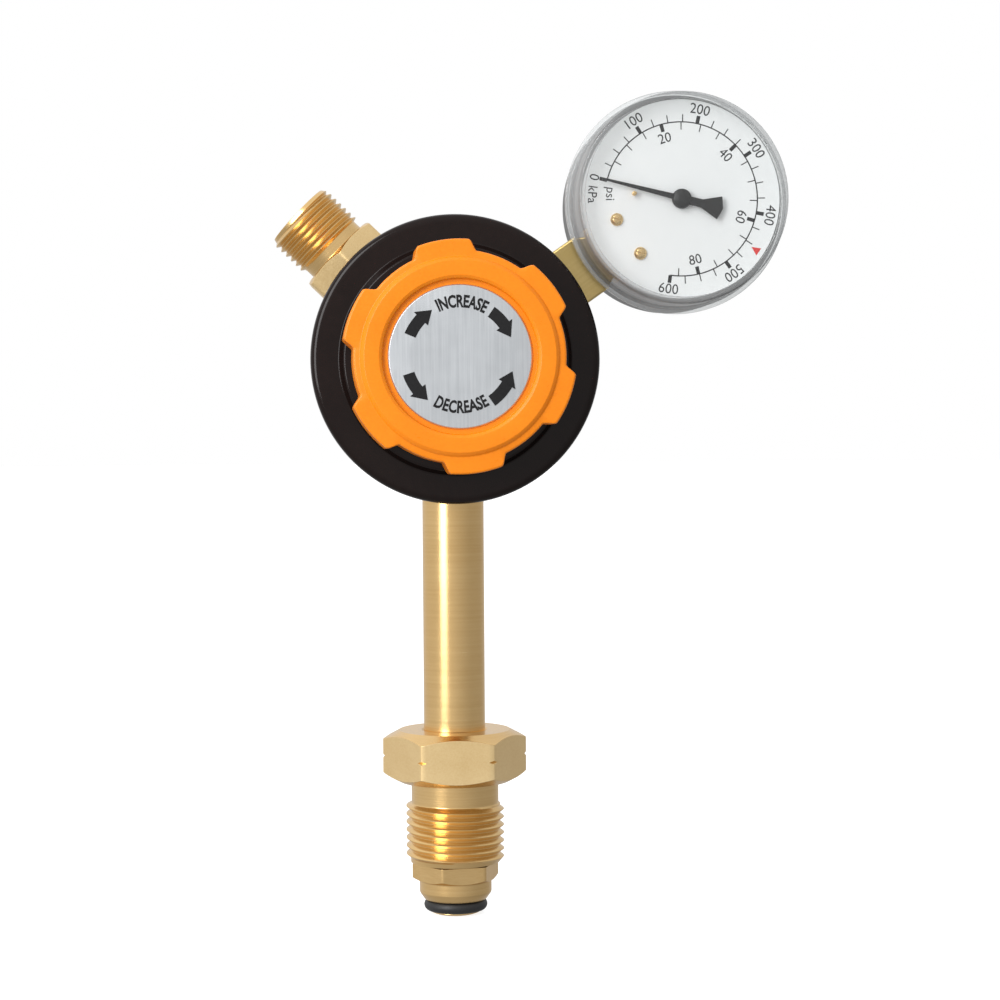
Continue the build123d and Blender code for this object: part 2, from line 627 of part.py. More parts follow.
def pointer_stop_pin():
    x, z = polar(10.6, ZERO_ANGLE + 7.8)
    return rod_y(STOP_PIN_R, DIAL_FRONT - 1.5, DIAL_FRONT, x, z)


def plate_outline(y0, y1):
    plate = slab(-6.4, 6.4, y0, y1, -12.8, 3.6)
    return fillet(plate.edges().filter_by(Axis.Y), 1.4)


def movement_back_plate():
    plate = plate_outline(PLATE_GAP_BACK, PLATE_GAP_BACK + MOVEMENT_PLATE)
    plate -= rod_y(PIVOT_R, -10, 0)
    return plate - rod_y(PIVOT_HOLE_R, -10, 0, 0, SECTOR_PIVOT_Z)


def movement_front_plate():
    plate = plate_outline(PLATE_GAP_FRONT - MOVEMENT_PLATE, PLATE_GAP_FRONT)
    plate -= rod_y(PIVOT_HOLE_R, -14, -10, 0, SECTOR_PIVOT_Z)
    for x, z in ((0, 0), *PILLARS):
        plate -= rod_y(PIVOT_R, -14, -10, x, z)
    return plate


def movement_pillars():
    pillar = rod_y(1.0, PLATE_GAP_FRONT, PLATE_GAP_BACK) - rod_y(PIVOT_R, PLATE_GAP_FRONT - 1, -9.0)
    return Compound(children=[Pos(x, 0, z) * pillar for x, z in PILLARS])


def movement_screws():
    head_y = PLATE_GAP_FRONT - MOVEMENT_PLATE
    return Compound(children=[pan_screw(1.15, head_y, x, z, PIVOT_R, -9.2) for x, z in PILLARS])


def toothed(radius, teeth, first, last, depth):
    """Rim points of a toothed arc, from angle first to angle last."""
    points = []
    pitch = (last - first) / teeth
    for tooth in range(teeth):
        start = first + tooth * pitch
        points += [polar(radius - depth, start), polar(radius - depth, start + pitch * 0.35),
                   polar(radius + depth, start + pitch * 0.5), polar(radius + depth, start + pitch * 0.7),
                   polar(radius - depth, start + pitch * 0.95)]
    return points


def sector_gear():
    rest = 68.0
    rim = toothed(SECTOR_R, 15, rest - 28, rest + 28, 0.18)
    blade = Polyline((0, 0), *rim, close=True)
    sector = extrude(make_face(blade), 0.8)
    sector -= Pos(*polar(4.4, rest), 0) * Cylinder(1.3, 4)
    sector += Cylinder(1.5, 1.2).moved(Pos(0, 0, 0.4))
    arm_mid = polar(ARM_LENGTH / 2, ARM_ANGLE)
    arm = Pos(arm_mid[0], arm_mid[1], 0.4) * Rot(0, 0, ARM_ANGLE) * SlotOverall(ARM_LENGTH + 2.0, 2.0)
    sector += extrude(arm, amount=0.4, both=True)
    sector -= Pos(*polar(ARM_LENGTH, ARM_ANGLE), 0) * Cylinder(0.66, 4)
    upright = Pos(0, -8.4, SECTOR_PIVOT_Z) * Rot(90, 0, 0) * sector
    return upright + rod_y(PIVOT_R, -12.3, ARBOR_BACK, 0, SECTOR_PIVOT_Z)


def pinion_arbor():
    rim = toothed(PINION_R, 10, 0, 360, 0.16)
    wheel = Pos(0, -8.0, 0) * Rot(90, 0, 0) * extrude(make_face(Polyline(*rim, close=True)), 2.2)
    return wheel + rod_y(ARBOR_R, POINTER_Y - 0.5, ARBOR_BACK)


def hairspring():
    turns = 3.0
    steps = 48
    inner = 1.5
    growth = 3.0 / steps
    spine = [polar(inner + growth * i, 360 * turns * i / steps) for i in range(steps + 1)]
    path = Spline(*spine)
    section = Plane(origin=path @ 0, z_dir=path % 0, x_dir=(0, 0, 1)) * Rectangle(0.5, 0.14)
    coil = sweep(section, path=path)
    return Pos(0, -10.9, 0) * Rot(90, 0, 0) * coil


def bourdon_tube():
    """Flat tube bent round most of a circle, from the socket block to its free tip."""
    start, end = 248.0, -22.0
    middle = (start + end) / 2
    path = ThreePointArc(polar(BOURDON_R, start), polar(BOURDON_R, middle), polar(BOURDON_R, end))
    outer = Plane(origin=path @ 0, z_dir=path % 0, x_dir=(0, 0, 1)) * SlotOverall(7.0, 2.4)
    inner = Plane(origin=path @ 0, z_dir=path % 0, x_dir=(0, 0, 1)) * SlotOverall(5.8, 1.2)
    tube = sweep(outer, path=path) - sweep(inner, path=path)
    tube = Pos(0, 0.6, 0) * Rot(90, 0, 0) * tube
    return tube - socket_block()


def link_ends():
    """Both pivot points of the link, (x, z), at rest."""
    arm = polar(ARM_LENGTH, ARM_ANGLE)
    near = (arm[0], SECTOR_PIVOT_Z + arm[1])
    reach = polar(LINK_LENGTH, LINK_ANGLE)
    return near, (near[0] + reach[0], near[1] + reach[1])


def bourdon_tip():
    far = link_ends()[1]
    cap_x, cap_z = polar(BOURDON_R, -26.4)
    cap = Pos(cap_x, 0.6, cap_z) * Rot(0, 26.4, 0) * Box(3.0, 7.4, 2.2)
    lug = slab(far[0] - 1.0, cap_x + 0.4, -8.4, -7.6, far[1] - 1.0, far[1] + 1.0)
    web = slab(cap_x - 1.0, cap_x + 0.4, -8.4, -2.0, far[1] - 1.0, far[1] + 1.0)
    return cap + lug + web + rod_y(0.5, -10.0, -7.6, far[0], far[1])


def gauge_link():
    near, far = link_ends()
    middle = ((near[0] + far[0]) / 2, (near[1] + far[1]) / 2)
    strip = extrude(SlotOverall(LINK_LENGTH + 1.8, 1.8), 0.5)
    strip = Pos(middle[0], -9.3, middle[1]) * Rot(0, -LINK_ANGLE, 0) * Rot(90, 0, 0) * strip
    strip -= rod_y(0.56, -12, -6, far[0], far[1])
    return strip + rod_y(0.3, -9.3, -8.0, near[0], near[1])


def pointer():
    hub = turned_y([(0, POINTER_Y - 0.9), (0.9, POINTER_Y - 0.9), (2.2, POINTER_Y - 0.4),
                    (2.2, POINTER_Y + 0.7), (ARBOR_R, POINTER_Y + 0.7), (ARBOR_R, POINTER_Y - 0.5),
                    (0, POINTER_Y - 0.5)])
    blade = [(1.5, 0.62), (POINTER_LENGTH, 0.26), (POINTER_LENGTH, -0.26), (1.5, -0.62),
             (-2.0, -0.9), (-4.6, -0.95), (-8.6, -2.6), (-9.4, 0), (-8.6, 2.6), (-4.6, 0.95), (-2.0, 0.9)]
    flat = extrude(make_face(Polyline(*blade, close=True)), 0.35)
    flat = Pos(0, POINTER_Y + 0.2, 0) * Rot(90, 0, 0) * flat
    return Rot(0, -ZERO_ANGLE, 0) * (flat - rod_y(ARBOR_R, POINTER_Y - 3, POINTER_Y + 3)) + hub


# ---------------------------------------------------------------- write every sub-part
BODY_PARTS = (regulator_body, inlet_stem, inlet_nipple, nose_o_ring, inlet_filter, inlet_nut,
              outlet_fitting, back_cap, back_cap_o_ring, seat_nozzle, poppet, poppet_seat_disc,
              poppet_spring, valve_pin, diaphragm, diaphragm_plate, diaphragm_boss, slip_ring,
              bonnet, spindle_bush, thrust_washer, spindle, spring_follower, range_spring,
              knob, knob_insert, knob_screw, label_disc)
GAUGE_PARTS = (gauge_socket, gauge_case, case_screws, blow_out_plug, lens_gasket, gauge_lens,
               gauge_dial, dial_posts, dial_screws, pointer_stop_pin, movement_back_plate,
               movement_front_plate, movement_pillars, movement_screws, sector_gear, pinion_arbor,
               hairspring, bourdon_tube, bourdon_tip, gauge_link, pointer)


def main():
    os.makedirs("parts", exist_ok=True)
    lift = Pos(0, 0, THREAD_END_DROP)
    for make in BODY_PARTS:
        export_step(lift * make(), f"parts/{make.__name__}.step")
    for make in GAUGE_PARTS:
        export_step(lift * gauge_place(make()), f"parts/{make.__name__}.step")


main()
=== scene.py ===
import json
from math import cos, degrees, pi, radians, sin, sqrt, tan

import bmesh
import bpy
from mathutils import Matrix, Vector


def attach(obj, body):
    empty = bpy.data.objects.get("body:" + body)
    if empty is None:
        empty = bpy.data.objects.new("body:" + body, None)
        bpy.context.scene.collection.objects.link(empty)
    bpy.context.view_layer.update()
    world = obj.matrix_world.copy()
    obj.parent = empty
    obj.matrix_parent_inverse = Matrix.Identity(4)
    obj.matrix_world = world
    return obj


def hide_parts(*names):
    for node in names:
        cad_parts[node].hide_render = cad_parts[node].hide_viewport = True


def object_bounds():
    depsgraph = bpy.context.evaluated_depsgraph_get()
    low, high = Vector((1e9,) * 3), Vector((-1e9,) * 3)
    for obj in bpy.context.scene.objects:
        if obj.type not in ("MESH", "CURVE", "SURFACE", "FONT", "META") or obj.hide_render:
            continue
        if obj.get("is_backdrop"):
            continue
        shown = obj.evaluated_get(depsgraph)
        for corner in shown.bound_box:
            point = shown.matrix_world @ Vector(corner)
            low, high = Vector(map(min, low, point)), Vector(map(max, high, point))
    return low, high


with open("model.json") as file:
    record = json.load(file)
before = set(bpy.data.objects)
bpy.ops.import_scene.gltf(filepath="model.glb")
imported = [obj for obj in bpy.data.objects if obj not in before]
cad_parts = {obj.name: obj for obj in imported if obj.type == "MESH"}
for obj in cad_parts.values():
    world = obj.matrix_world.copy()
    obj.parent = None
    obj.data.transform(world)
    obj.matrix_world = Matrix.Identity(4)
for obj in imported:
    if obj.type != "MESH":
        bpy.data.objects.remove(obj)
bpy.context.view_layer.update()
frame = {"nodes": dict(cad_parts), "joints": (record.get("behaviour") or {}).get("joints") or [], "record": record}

# Gas cylinder pressure regulator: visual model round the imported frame.
# Every piece is drawn in millimetres in one of four local frames whose Z is the piece's own axis,
# and placed from the frame's joints and mounts. In the knob's and the gauge's frame Z faces the
# viewer, and a height there is the distance in front of the inlet stem's axis. In the stem's and the
# outlet's frame a height is measured from the point where the knob's axis meets the stem's.

MM = 0.001
JOINTS = {joint["name"]: joint for joint in frame["joints"]}
MOUNTS = {mount["name"]: mount for mount in frame["record"]["mounts"]}


# ---------------------------------------------------------------- local frames
def local_frame(origin, y_axis, z_axis):
    """Matrix of the right-handed frame with these y and z axes."""
    y = Vector(y_axis).normalized()
    z = Vector(z_axis).normalized()
    matrix = Matrix((y.cross(z), y, z)).transposed().to_4x4()
    matrix.translation = origin
    return matrix


KNOB_AXIS = Vector(JOINTS["knob_turn"]["pos_m"])
CROSSING = Vector((0.0, 0.0, KNOB_AXIS.z))       # where the knob's axis meets the inlet stem's
GAUGE_CENTRE = Vector(JOINTS["pointer_turn"]["pos_m"])
GAUGE_CENTRE.y = 0.0
FRONT = (0, -1, 0)
UP = (0, 0, 1)
KNOB = local_frame(CROSSING, UP, FRONT)
STEM = local_frame(CROSSING, (0, 1, 0), UP)
OUTLET = local_frame(CROSSING, (0, 1, 0), MOUNTS["outlet_thread"]["axis"])
GAUGE = local_frame(GAUGE_CENTRE, GAUGE_CENTRE - CROSSING, FRONT)

# ---------------------------------------------------------------- driving dimensions, in mm
CLEAR = 0.02                                      # between faces that would otherwise coincide
BLUNT = 0.1                                       # flat or chamfer left on a crest or an edge
PORT_FACE = 31.0                                  # the body's ports, from the knob's axis

STEM_R = 7.0
STEM_BORE_R = 3.0
STEM_END = -114.5
SPIGOT_R = 6.0                                    # the stem's end inside the body
SPIGOT_END = -18.0

NUT_TOP = -84.0
NUT_BOTTOM = -114.3
NUT_FLATS = 28.6
NUT_HEX_HEIGHT = 11.7
NUT_NECK_R = 9.95
NUT_CREST_R = 11.2
NUT_TIP_R = 10.2
NUT_TIP_SLOPE = 0.85
NUT_THREAD = (-113.3, -101.2)
NUT_RUNOUT = 0.4
NUT_PITCH = 1.814
NUT_THREAD_DEPTH = 1.0
NUT_BORE_R = 7.1
NUT_LAND = 0.885                                  # the flat end's radius, as a share of the flats'
NUT_NOTCH_DEPTH = 0.55
LAND = 0.97                                       # the same for the other two hexagons
CHAMFER = tan(radians(28.0))                      # slope of the turned chamfers of all three

NOSE_FLATS = 17.6
NOSE_TURN = 9.7
NOSE_HEX_HEIGHT = 4.0
NOSE_R = 8.25
NOSE_BAND_END = -121.3
NOSE_SHOULDER_R = 7.1
NOSE_LIP_R = 5.7
NOSE_LIP = 0.3
NOSE_TIP = -126.2
NOSE_TIP_R = 4.65
NOSE_BORE_R = 2.8
RING_Z = -124.2
RING_MEAN_R = 5.95
RING_SECTION_R = 1.3

OUTLET_FLATS = 19.0
OUTLET_HEX_TURN = 30.0
OUTLET_HEX_END = 35.7
OUTLET_NECK_R = 7.7
OUTLET_THREAD = (38.2, 47.1)
OUTLET_RUNOUT = 0.3
OUTLET_CREST_R = 8.7
OUTLET_TIP_R = 7.7
OUTLET_TIP_LENGTH = 1.2
OUTLET_TIP_SLOPE = 0.75
OUTLET_PITCH = 1.5
OUTLET_THREAD_DEPTH = 0.92
OUTLET_END = 48.0
OUTLET_MOUTH_R = 6.1
OUTLET_MOUTH_DEPTH = 1.6
OUTLET_BORE_R = 4.5
OUTLET_SPIGOT_R = 6.5                             # the outlet's end inside the body
OUTLET_SPIGOT_END = 20.0

BONNET_R = 31.9
BONNET_BACK = 10.0
BONNET_FACE = 19.5
BONNET_CAVITY_R = 30.0
BONNET_SEAT_R = 22.5                              # inner edge of the ledge that clamps the diaphragm
BONNET_SEAT = 16.6
BONNET_VAULT = ((21.9, 18.2), (12.2, 19.2), (11.2, 20.2))
PLATEAU_R = 25.0
PLATEAU = 21.3
HUB_R = 14.0
HUB_CAVITY_R = 11.2
HUB_BORE_R = 5.5
HUB_FRONT = 34.2
HUB_WALL = 2.6
HUB_CHAMFER = 0.8

KNOB_BACK = 22.5
KNOB_RIM = 38.6
KNOB_CROWN = 39.6
KNOB_LEDGE = 38.2
CROWN_R = (17.2, 20.3)                            # inner and outer radius of the crown's flat top
LOBE_R = 24.9
VALLEY_R = 22.6
KNOB_DRAFT = 0.35
LOBES = 6
LOBE_ANGLE = 38.0
LOBE_WIDTH = 30.0
FLANK = 5.2
KNOB_CAVITY_R = 15.6
KNOB_CEILING = 34.8
LABEL_WELL_R = 16.4
LABEL_R = 15.3
LABEL_FACE = 38.95
WORD_SIZE = 3.6
WORD_WEIGHT = 0.12
WORD_WIDTH = 0.68                                 # width of the letters as a share of the font's own
ARROW_R = LABEL_R * 0.75
ARROW_WIDTH = LABEL_R * 0.165
ARROW_HEAD = 15.0                                 # degrees of arc
ARROWS = ((157.0, 121.0), (55.0, 20.5), (198.0, 233.0), (305.0, 344.0))    # tail and tip angles

GAUGE_BACK = -9.5
CASE_R = 24.1
CASE_WALL = 0.8
CASE_FRONT = 8.0
CASE_SLOT = (-30.0, -18.0)                        # along Y of the gauge's frame, like the shank
SHANK = 14.0
SHANK_SPAN = (-30.98, -7.0)                       # from just inside the body's port
SHANK_FRONT_CUT = 1.3                             # shallower by this on the viewer's side
LENS_RIM_R = 25.0
LENS_RIM = (7.3, 9.3)
LENS_FRONT = 21.5
LENS_SHOULDER_R = 23.3
LENS_WALL = 1.4
LENS_SEAT = 8.5
WINDOW_R = 21.8
DIAL_FACE = 17.2
DIAL_R = 22.0
DIAL_HOLE_R = 0.9
DIAL_THICKNESS = 0.5
DIAL_SCREWS = ((-4.55, -14.4), (4.55, -14.4))     # x and y
DIAL_SCREW_R = 1.4
PIN_PLACE = (10.6, 7.8)                           # radius, and degrees before zero
PIN_R = 0.5
PIN_HEIGHT = 1.5

ZERO_ANGLE = 221.0
SWEEP = JOINTS["pointer_turn"]["range_deg"][1]
FULL_SCALE = 600.0                                # kilopascals
PSI = 6.89476                                     # kilopascals in a pound per square inch
RED_MARK = 454.0                                  # kilopascals
ARC_R = 17.0
ARC_WIDTH = 0.26
TICK = 1.7
TICK_WIDTH = 0.22
MAJOR_WIDTH = 0.8
LETTER_WIDTH = 0.95
ZERO_R = 20.0
KPA_NUMBER_R = 20.1
KPA_NUMBER_SIZE = 3.2
PSI_NUMBER_R = 13.8
PSI_NUMBER_SIZE = 3.1
KPA_UNIT = (19.9, 11.0)                           # radius, and degrees before zero
PSI_UNIT = (15.9, 10.0)
UNIT_SIZE = 2.9
POINTER_FACE = 18.4
POINTER_LENGTH = 18.2
HUB_CAP_R = 2.2                                   # the pointer's hub
ARBOR_R = 0.56
INK = 0.03                                        # thickness of printing

# ---------------------------------------------------------------- camera and light
CAMERA_TURN = (3.797, -1.897, -0.381)             # yaw, pitch and roll in degrees
CAMERA_PLACE = (-24.14, -526.05, -14.20)          # mm from where the knob's axis meets the stem's
FOCAL_LENGTH = 83.07
FLOOR_R = 6.0                                     # metres
KEY_PLACE = (-0.58, -0.69, 0.30)                  # metres from where the knob's axis meets the stem's
KEY_SIZE = (0.42, 0.90)
KEY_RADIANCE = 6.5


# ---------------------------------------------------------------- materials
def node(tree, kind, **inputs):
    """A new shader node with its inputs set to values or linked to sockets.
    An input is given by its name, or as i0, i1 and so on by its number."""
    made = tree.nodes.new(kind)
    for key, value in inputs.items():
        numbered = key[0] == "i" and key[1:].isdigit()
        socket = made.inputs[int(key[1:]) if numbered else key]
        if isinstance(value, bpy.types.NodeSocket):
            tree.links.new(value, socket)
        else:
            socket.default_value = value
    return made


def noise(tree, vector, scale):
    """Noise from 0 to 1 with that many cells a metre."""
    made = node(tree, "ShaderNodeTexNoise", Vector=vector, Scale=scale, Detail=3.0, Roughness=0.55)
    return made.outputs[0]


def scaled(tree, vector, factors):
    """A vector times three factors."""
    made = node(tree, "ShaderNodeVectorMath", i0=vector, i1=factors)
    made.operation = "MULTIPLY"
    return made.outputs[0]


def grain_vector(tree, where, grain):
    """Texture coordinates whose noise runs as turning marks, brushed lines or plain casting grain."""
    if grain == "turned":
        split = node(tree, "ShaderNodeSeparateXYZ", Vector=where)
        flat = scaled(tree, where, (1, 1, 0))
        radius = node(tree, "ShaderNodeVectorMath", i0=flat)
        radius.operation = "LENGTH"
        wander = scaled(tree, flat, (0.012, 0.012, 0))
        rings = node(tree, "ShaderNodeCombineXYZ", X=radius.outputs["Value"], Y=split.outputs["Z"])
        total = node(tree, "ShaderNodeVectorMath", i0=rings.outputs[0], i1=wander)
        total.operation = "ADD"
        return total.outputs[0]
    if grain == "brushed":
        return scaled(tree, where, (1, 0.02, 1))
    return where


def mapped(tree, value, low, high):
    """Noise, which stays near its middle, stretched to a range."""
    made = node(tree, "ShaderNodeMapRange", i0=value, i1=0.3, i2=0.7, i3=low, i4=high)
    return made.outputs[0]


def finish(name, dark, light, rough, metal=0.0, grain="cast", scale=2500.0, bump=0.1, depth=0.02,
           gloss=0.5):
    """Surface with colour, roughness and relief varied by fine grain and by broad patches."""
    material = bpy.data.materials.new(name)
    material.use_nodes = True
    tree = material.node_tree
    shader = tree.nodes["Principled BSDF"]
    where = tree.nodes.new("ShaderNodeTexCoord").outputs["Object"]
    fine = noise(tree, grain_vector(tree, where, grain), scale)
    patches = noise(tree, where, 90.0)
    both = node(tree, "ShaderNodeMath", i0=fine, i1=patches)
    both.operation = "ADD"
    half = node(tree, "ShaderNodeMath", i0=both.outputs[0], i1=0.5)
    half.operation = "MULTIPLY"
    share = mapped(tree, half.outputs[0], 0.0, 1.0)
    colour = tree.nodes.new("ShaderNodeMix")
    colour.data_type = "RGBA"
    colour.inputs[6].default_value = (*dark, 1)
    colour.inputs[7].default_value = (*light, 1)
    tree.links.new(share, colour.inputs[0])
    tree.links.new(colour.outputs[2], shader.inputs["Base Color"])
    tree.links.new(mapped(tree, half.outputs[0], *rough), shader.inputs["Roughness"])
    relief = node(tree, "ShaderNodeBump", Strength=bump, Distance=depth * MM, Height=fine)
    tree.links.new(relief.outputs[0], shader.inputs["Normal"])
    shader.inputs["Metallic"].default_value = metal
    shader.inputs["Specular IOR Level"].default_value = gloss
    return material


def window(name, tint, haze):
    """Clear plastic: mostly see-through, with a glossy skin and a little milky haze.
    The skin mirrors 3.5 percent of the light face on, and 90 percent at a grazing angle."""
    material = bpy.data.materials.new(name)
    material.use_nodes = True
    tree = material.node_tree
    out = tree.nodes["Material Output"]
    tree.nodes.remove(tree.nodes["Principled BSDF"])
    where = tree.nodes.new("ShaderNodeTexCoord").outputs["Object"]
    ripple = node(tree, "ShaderNodeBump", Strength=0.05, Distance=0.02 * MM,
                  Height=noise(tree, where, 250.0))
    clear = node(tree, "ShaderNodeBsdfTransparent", Color=(*tint, 1))
    milk = node(tree, "ShaderNodeBsdfDiffuse", Color=(0.80, 0.82, 0.83, 1))
    smear = mapped(tree, noise(tree, where, 60.0), 0.03, 0.07)
    gloss = node(tree, "ShaderNodeBsdfGlossy", Roughness=smear, Normal=ripple.outputs[0])
    inside = node(tree, "ShaderNodeMixShader", i0=haze, i1=clear.outputs[0], i2=milk.outputs[0])
    facing = node(tree, "ShaderNodeLayerWeight", Blend=0.5, Normal=ripple.outputs[0])
    steep = node(tree, "ShaderNodeMath", i0=facing.outputs["Facing"], i1=5.0)
    steep.operation = "POWER"
    shine = node(tree, "ShaderNodeMapRange", i0=steep.outputs[0], i3=0.035, i4=0.9)
    both = node(tree, "ShaderNodeMixShader", i0=shine.outputs[0], i1=inside.outputs[0],
                i2=gloss.outputs[0])
    tree.links.new(both.outputs[0], out.inputs["Surface"])
    return material


BRASS_DARK = (0.75, 0.49, 0.205)
BRASS_LIGHT = (0.85, 0.59, 0.275)
FINISHES = {
    "forged_brass": finish("forged_brass", (0.55, 0.33, 0.12), (0.74, 0.49, 0.22), (0.30, 0.48),
                           metal=1.0, scale=1300.0, bump=0.35, depth=0.06),
    "turned_brass": finish("plain_brass", BRASS_DARK, BRASS_LIGHT, (0.22, 0.34), metal=1.0),
    "movement_brass": finish("movement_brass", (0.70, 0.47, 0.20), (0.86, 0.63, 0.32), (0.22, 0.38),
                             metal=1.0),
    "black_enamel": finish("black_enamel", (0.007, 0.0032, 0.0026), (0.011, 0.0056, 0.0046),
                           (0.10, 0.17), scale=700.0, bump=0.08, gloss=0.22),
    "case_black": finish("case_black", (0.014, 0.014, 0.015), (0.024, 0.024, 0.026), (0.30, 0.42),
                         scale=1500.0),
    "orange_plastic": finish("orange_plastic", (0.86, 0.225, 0.004), (0.95, 0.27, 0.006), (0.26, 0.36),
                             scale=1800.0, bump=0.06, gloss=0.30),
    "label_foil": finish("label_foil", (0.56, 0.585, 0.61), (0.70, 0.725, 0.75), (0.30, 0.42),
                         metal=0.9, grain="brushed", scale=2600.0, bump=0.15, depth=0.01),
    "clear_plastic": window("clear_plastic", (0.99, 0.995, 0.995), 0.01),
    "dial_white": finish("dial_white", (0.80, 0.81, 0.81), (0.85, 0.86, 0.86), (0.42, 0.52),
                         scale=1200.0, bump=0.05),
    "pointer_black": finish("pointer_black", (0.006, 0.006, 0.006), (0.012, 0.012, 0.012),
                            (0.38, 0.50), gloss=0.3),
    "black_rubber": finish("black_rubber", (0.010, 0.010, 0.011), (0.022, 0.022, 0.023), (0.42, 0.58)),
    "diaphragm_rubber": finish("diaphragm_rubber", (0.03, 0.03, 0.03), (0.06, 0.06, 0.06), (0.6, 0.8)),
    "zinc_steel": finish("zinc_steel", (0.50, 0.51, 0.53), (0.68, 0.68, 0.70), (0.25, 0.42),
                         metal=1.0),
    "spring_steel": finish("spring_steel", (0.28, 0.28, 0.30), (0.45, 0.45, 0.47), (0.28, 0.45),
                           metal=1.0),
    "nylon": finish("nylon", (0.76, 0.74, 0.68), (0.86, 0.84, 0.79), (0.45, 0.60)),
    "sintered_bronze": finish("sintered_bronze", (0.30, 0.18, 0.10), (0.60, 0.42, 0.26), (0.5, 0.8),
                              metal=0.8, scale=5000.0, bump=0.8, depth=0.15),
    "bourdon_bronze": finish("bourdon_bronze", (0.62, 0.38, 0.20), (0.76, 0.52, 0.31), (0.25, 0.40),
                             metal=1.0),
}
TURNED = finish("lathe_brass", BRASS_DARK, BRASS_LIGHT, (0.20, 0.28), metal=1.0, grain="turned",
                scale=1800.0, bump=0.04, depth=0.005)
MILLED = finish("milled_brass", (0.88, 0.62, 0.29), (0.97, 0.74, 0.40), (0.34, 0.46), metal=1.0,
                grain="brushed", scale=2600.0, depth=0.01)
CASE_INSIDE = finish("case_inside", (0.62, 0.63, 0.64), (0.74, 0.75, 0.76), (0.35, 0.50), scale=1500.0)
RIM_PLASTIC = window("rim_plastic", (0.95, 0.96, 0.96), 0.24)
# Darker brass than the other brass parts: painted shade for the shank, which sits under the gauge and the bonnet.
SHADED_SHANK_BRASS = finish("shank_brass_painted_shade", (0.52, 0.38, 0.14), (0.66, 0.50, 0.22), (0.26, 0.38), metal=1.0,
                     grain="brushed", scale=1800.0, bump=0.08, depth=0.01)
INK_BLACK = finish("black_ink", (0.008, 0.008, 0.009), (0.016, 0.016, 0.017), (0.38, 0.50), gloss=0.2)
INK_RED = finish("red_ink", (0.62, 0.02, 0.02), (0.74, 0.04, 0.03), (0.40, 0.52))


# ---------------------------------------------------------------- mesh helpers
def polar(radius, angle):
    """Point at a radius and an angle in degrees."""
    return radius * cos(radians(angle)), radius * sin(radians(angle))


def evenly(count):
    """That many angles round a full turn, in degrees."""
    return [360.0 * i / count for i in range(count)]


def rounded(corners, steps=4):
    """Open outline whose corners (r, h, radius) are rounded off; corners (r, h) stay sharp."""
    share = 0.48                                  # most of a side that one corner's rounding takes
    points = []
    for i, corner in enumerate(corners):
        middle = Vector(corner[:2])
        if len(corner) < 3:
            points.append(tuple(middle))
            continue
        before = Vector(corners[i - 1][:2]) - middle
        after = Vector(corners[i + 1][:2]) - middle
        cut = corner[2] / tan(before.angle(after) / 2)
        start = middle + before.normalized() * min(cut, before.length * share)
        end = middle + after.normalized() * min(cut, after.length * share)
        for step in range(steps + 1):
            t = step / steps
            points.append(tuple(start * (1 - t) ** 2 + middle * 2 * t * (1 - t) + end * t * t))
    return points


def ring_columns(bm, angles, outline, lag=0):
    """Surface through one open (r, h) outline for each angle, joined all the way round.
    With a lag, the last column meets the first one that many rows further on, as a thread does."""
    columns = []
    for angle in angles:
        columns.append([bm.verts.new((*polar(r, angle), h)) for r, h in outline(angle)])
    rows = len(columns[0])
    columns.append([columns[0][max(row - lag, 0)] for row in range(rows)])
    for left, right in zip(columns, columns[1:]):
        for row in range(rows - 1):
            corners = (left[row], right[row], right[row + 1], left[row + 1])
            if len(set(corners)) == 4:
                bm.faces.new(corners)


def lathe(bm, corners, count=240, steps=4):
    """Solid of revolution from the corners of its outline, closed from the last back to the first."""
    outline = rounded(corners, steps)
    ring_columns(bm, evenly(count), lambda angle: outline + outline[:1])


def hex_radius(flats, angle):
    """Radius of a hexagon with a corner at angle 0, its corners slightly blunted."""
    blunt = 0.12
    beside = (angle + 30.0) % 60.0 - 30.0
    return min(flats / 2 / cos(radians(30.0 - abs(beside))), flats / sqrt(3) - blunt)


def hex_chamfer(flats, radius, land=LAND):
    """How far a turned chamfer lowers the hexagon's end at a radius."""
    return max(radius - flats / 2 * land, 0.0) * CHAMFER


THREAD_COLUMNS = 180                              # columns of points round a threaded piece
# Shares of the pitch: the rows of points, and where the flanks start and end.
THREAD_ROWS = (0.0, 0.02, 0.07, 0.10, 0.48, 0.51, 0.57, 0.60, 0.97)
THREAD_CREST = 0.08
THREAD_ROOT = (0.50, 0.58)


def thread_radius(crest, depth, phase):
    """Radius of a blunt V thread at a share of its pitch."""
    phase %= 1.0
    falling = (phase - THREAD_CREST) / (THREAD_ROOT[0] - THREAD_CREST)
    rising = (1.0 - phase) / (1.0 - THREAD_ROOT[1])
    return crest - depth * min(max(falling, 0.0), max(rising, 0.0), 1.0)


def left_thread(bm, span, pitch, crest, depth, limit):
    """Left-hand thread between two heights. limit(h) caps its radius where the ends are chamfered.
    Returns the radius as a function of angle and height, for the surfaces that meet it."""
    low, high = span
    turns = int((high - low) / pitch) + 3
    shares = [turn + row for turn in range(turns) for row in THREAD_ROWS]

    def radius(angle, height):
        phase = (height - low) / pitch + angle / 360.0
        return min(thread_radius(crest, depth, phase), limit(height))

    def outline(angle):
        heights = [low + (share - angle / 360.0) * pitch for share in shares]
        clamped = [min(max(height, low), high) for height in heights]
        return [(radius(angle, height), height) for height in clamped]

    ring_columns(bm, evenly(THREAD_COLUMNS), outline, lag=len(THREAD_ROWS))
    return radius


def block(bm, low, high):
    """Box between two corners."""
    size = Vector(high) - Vector(low)
    middle = (Vector(high) + Vector(low)) / 2
    made = bmesh.ops.create_cube(bm, size=1.0)["verts"]
    bmesh.ops.scale(bm, vec=size, verts=made)
    bmesh.ops.translate(bm, vec=middle, verts=made)


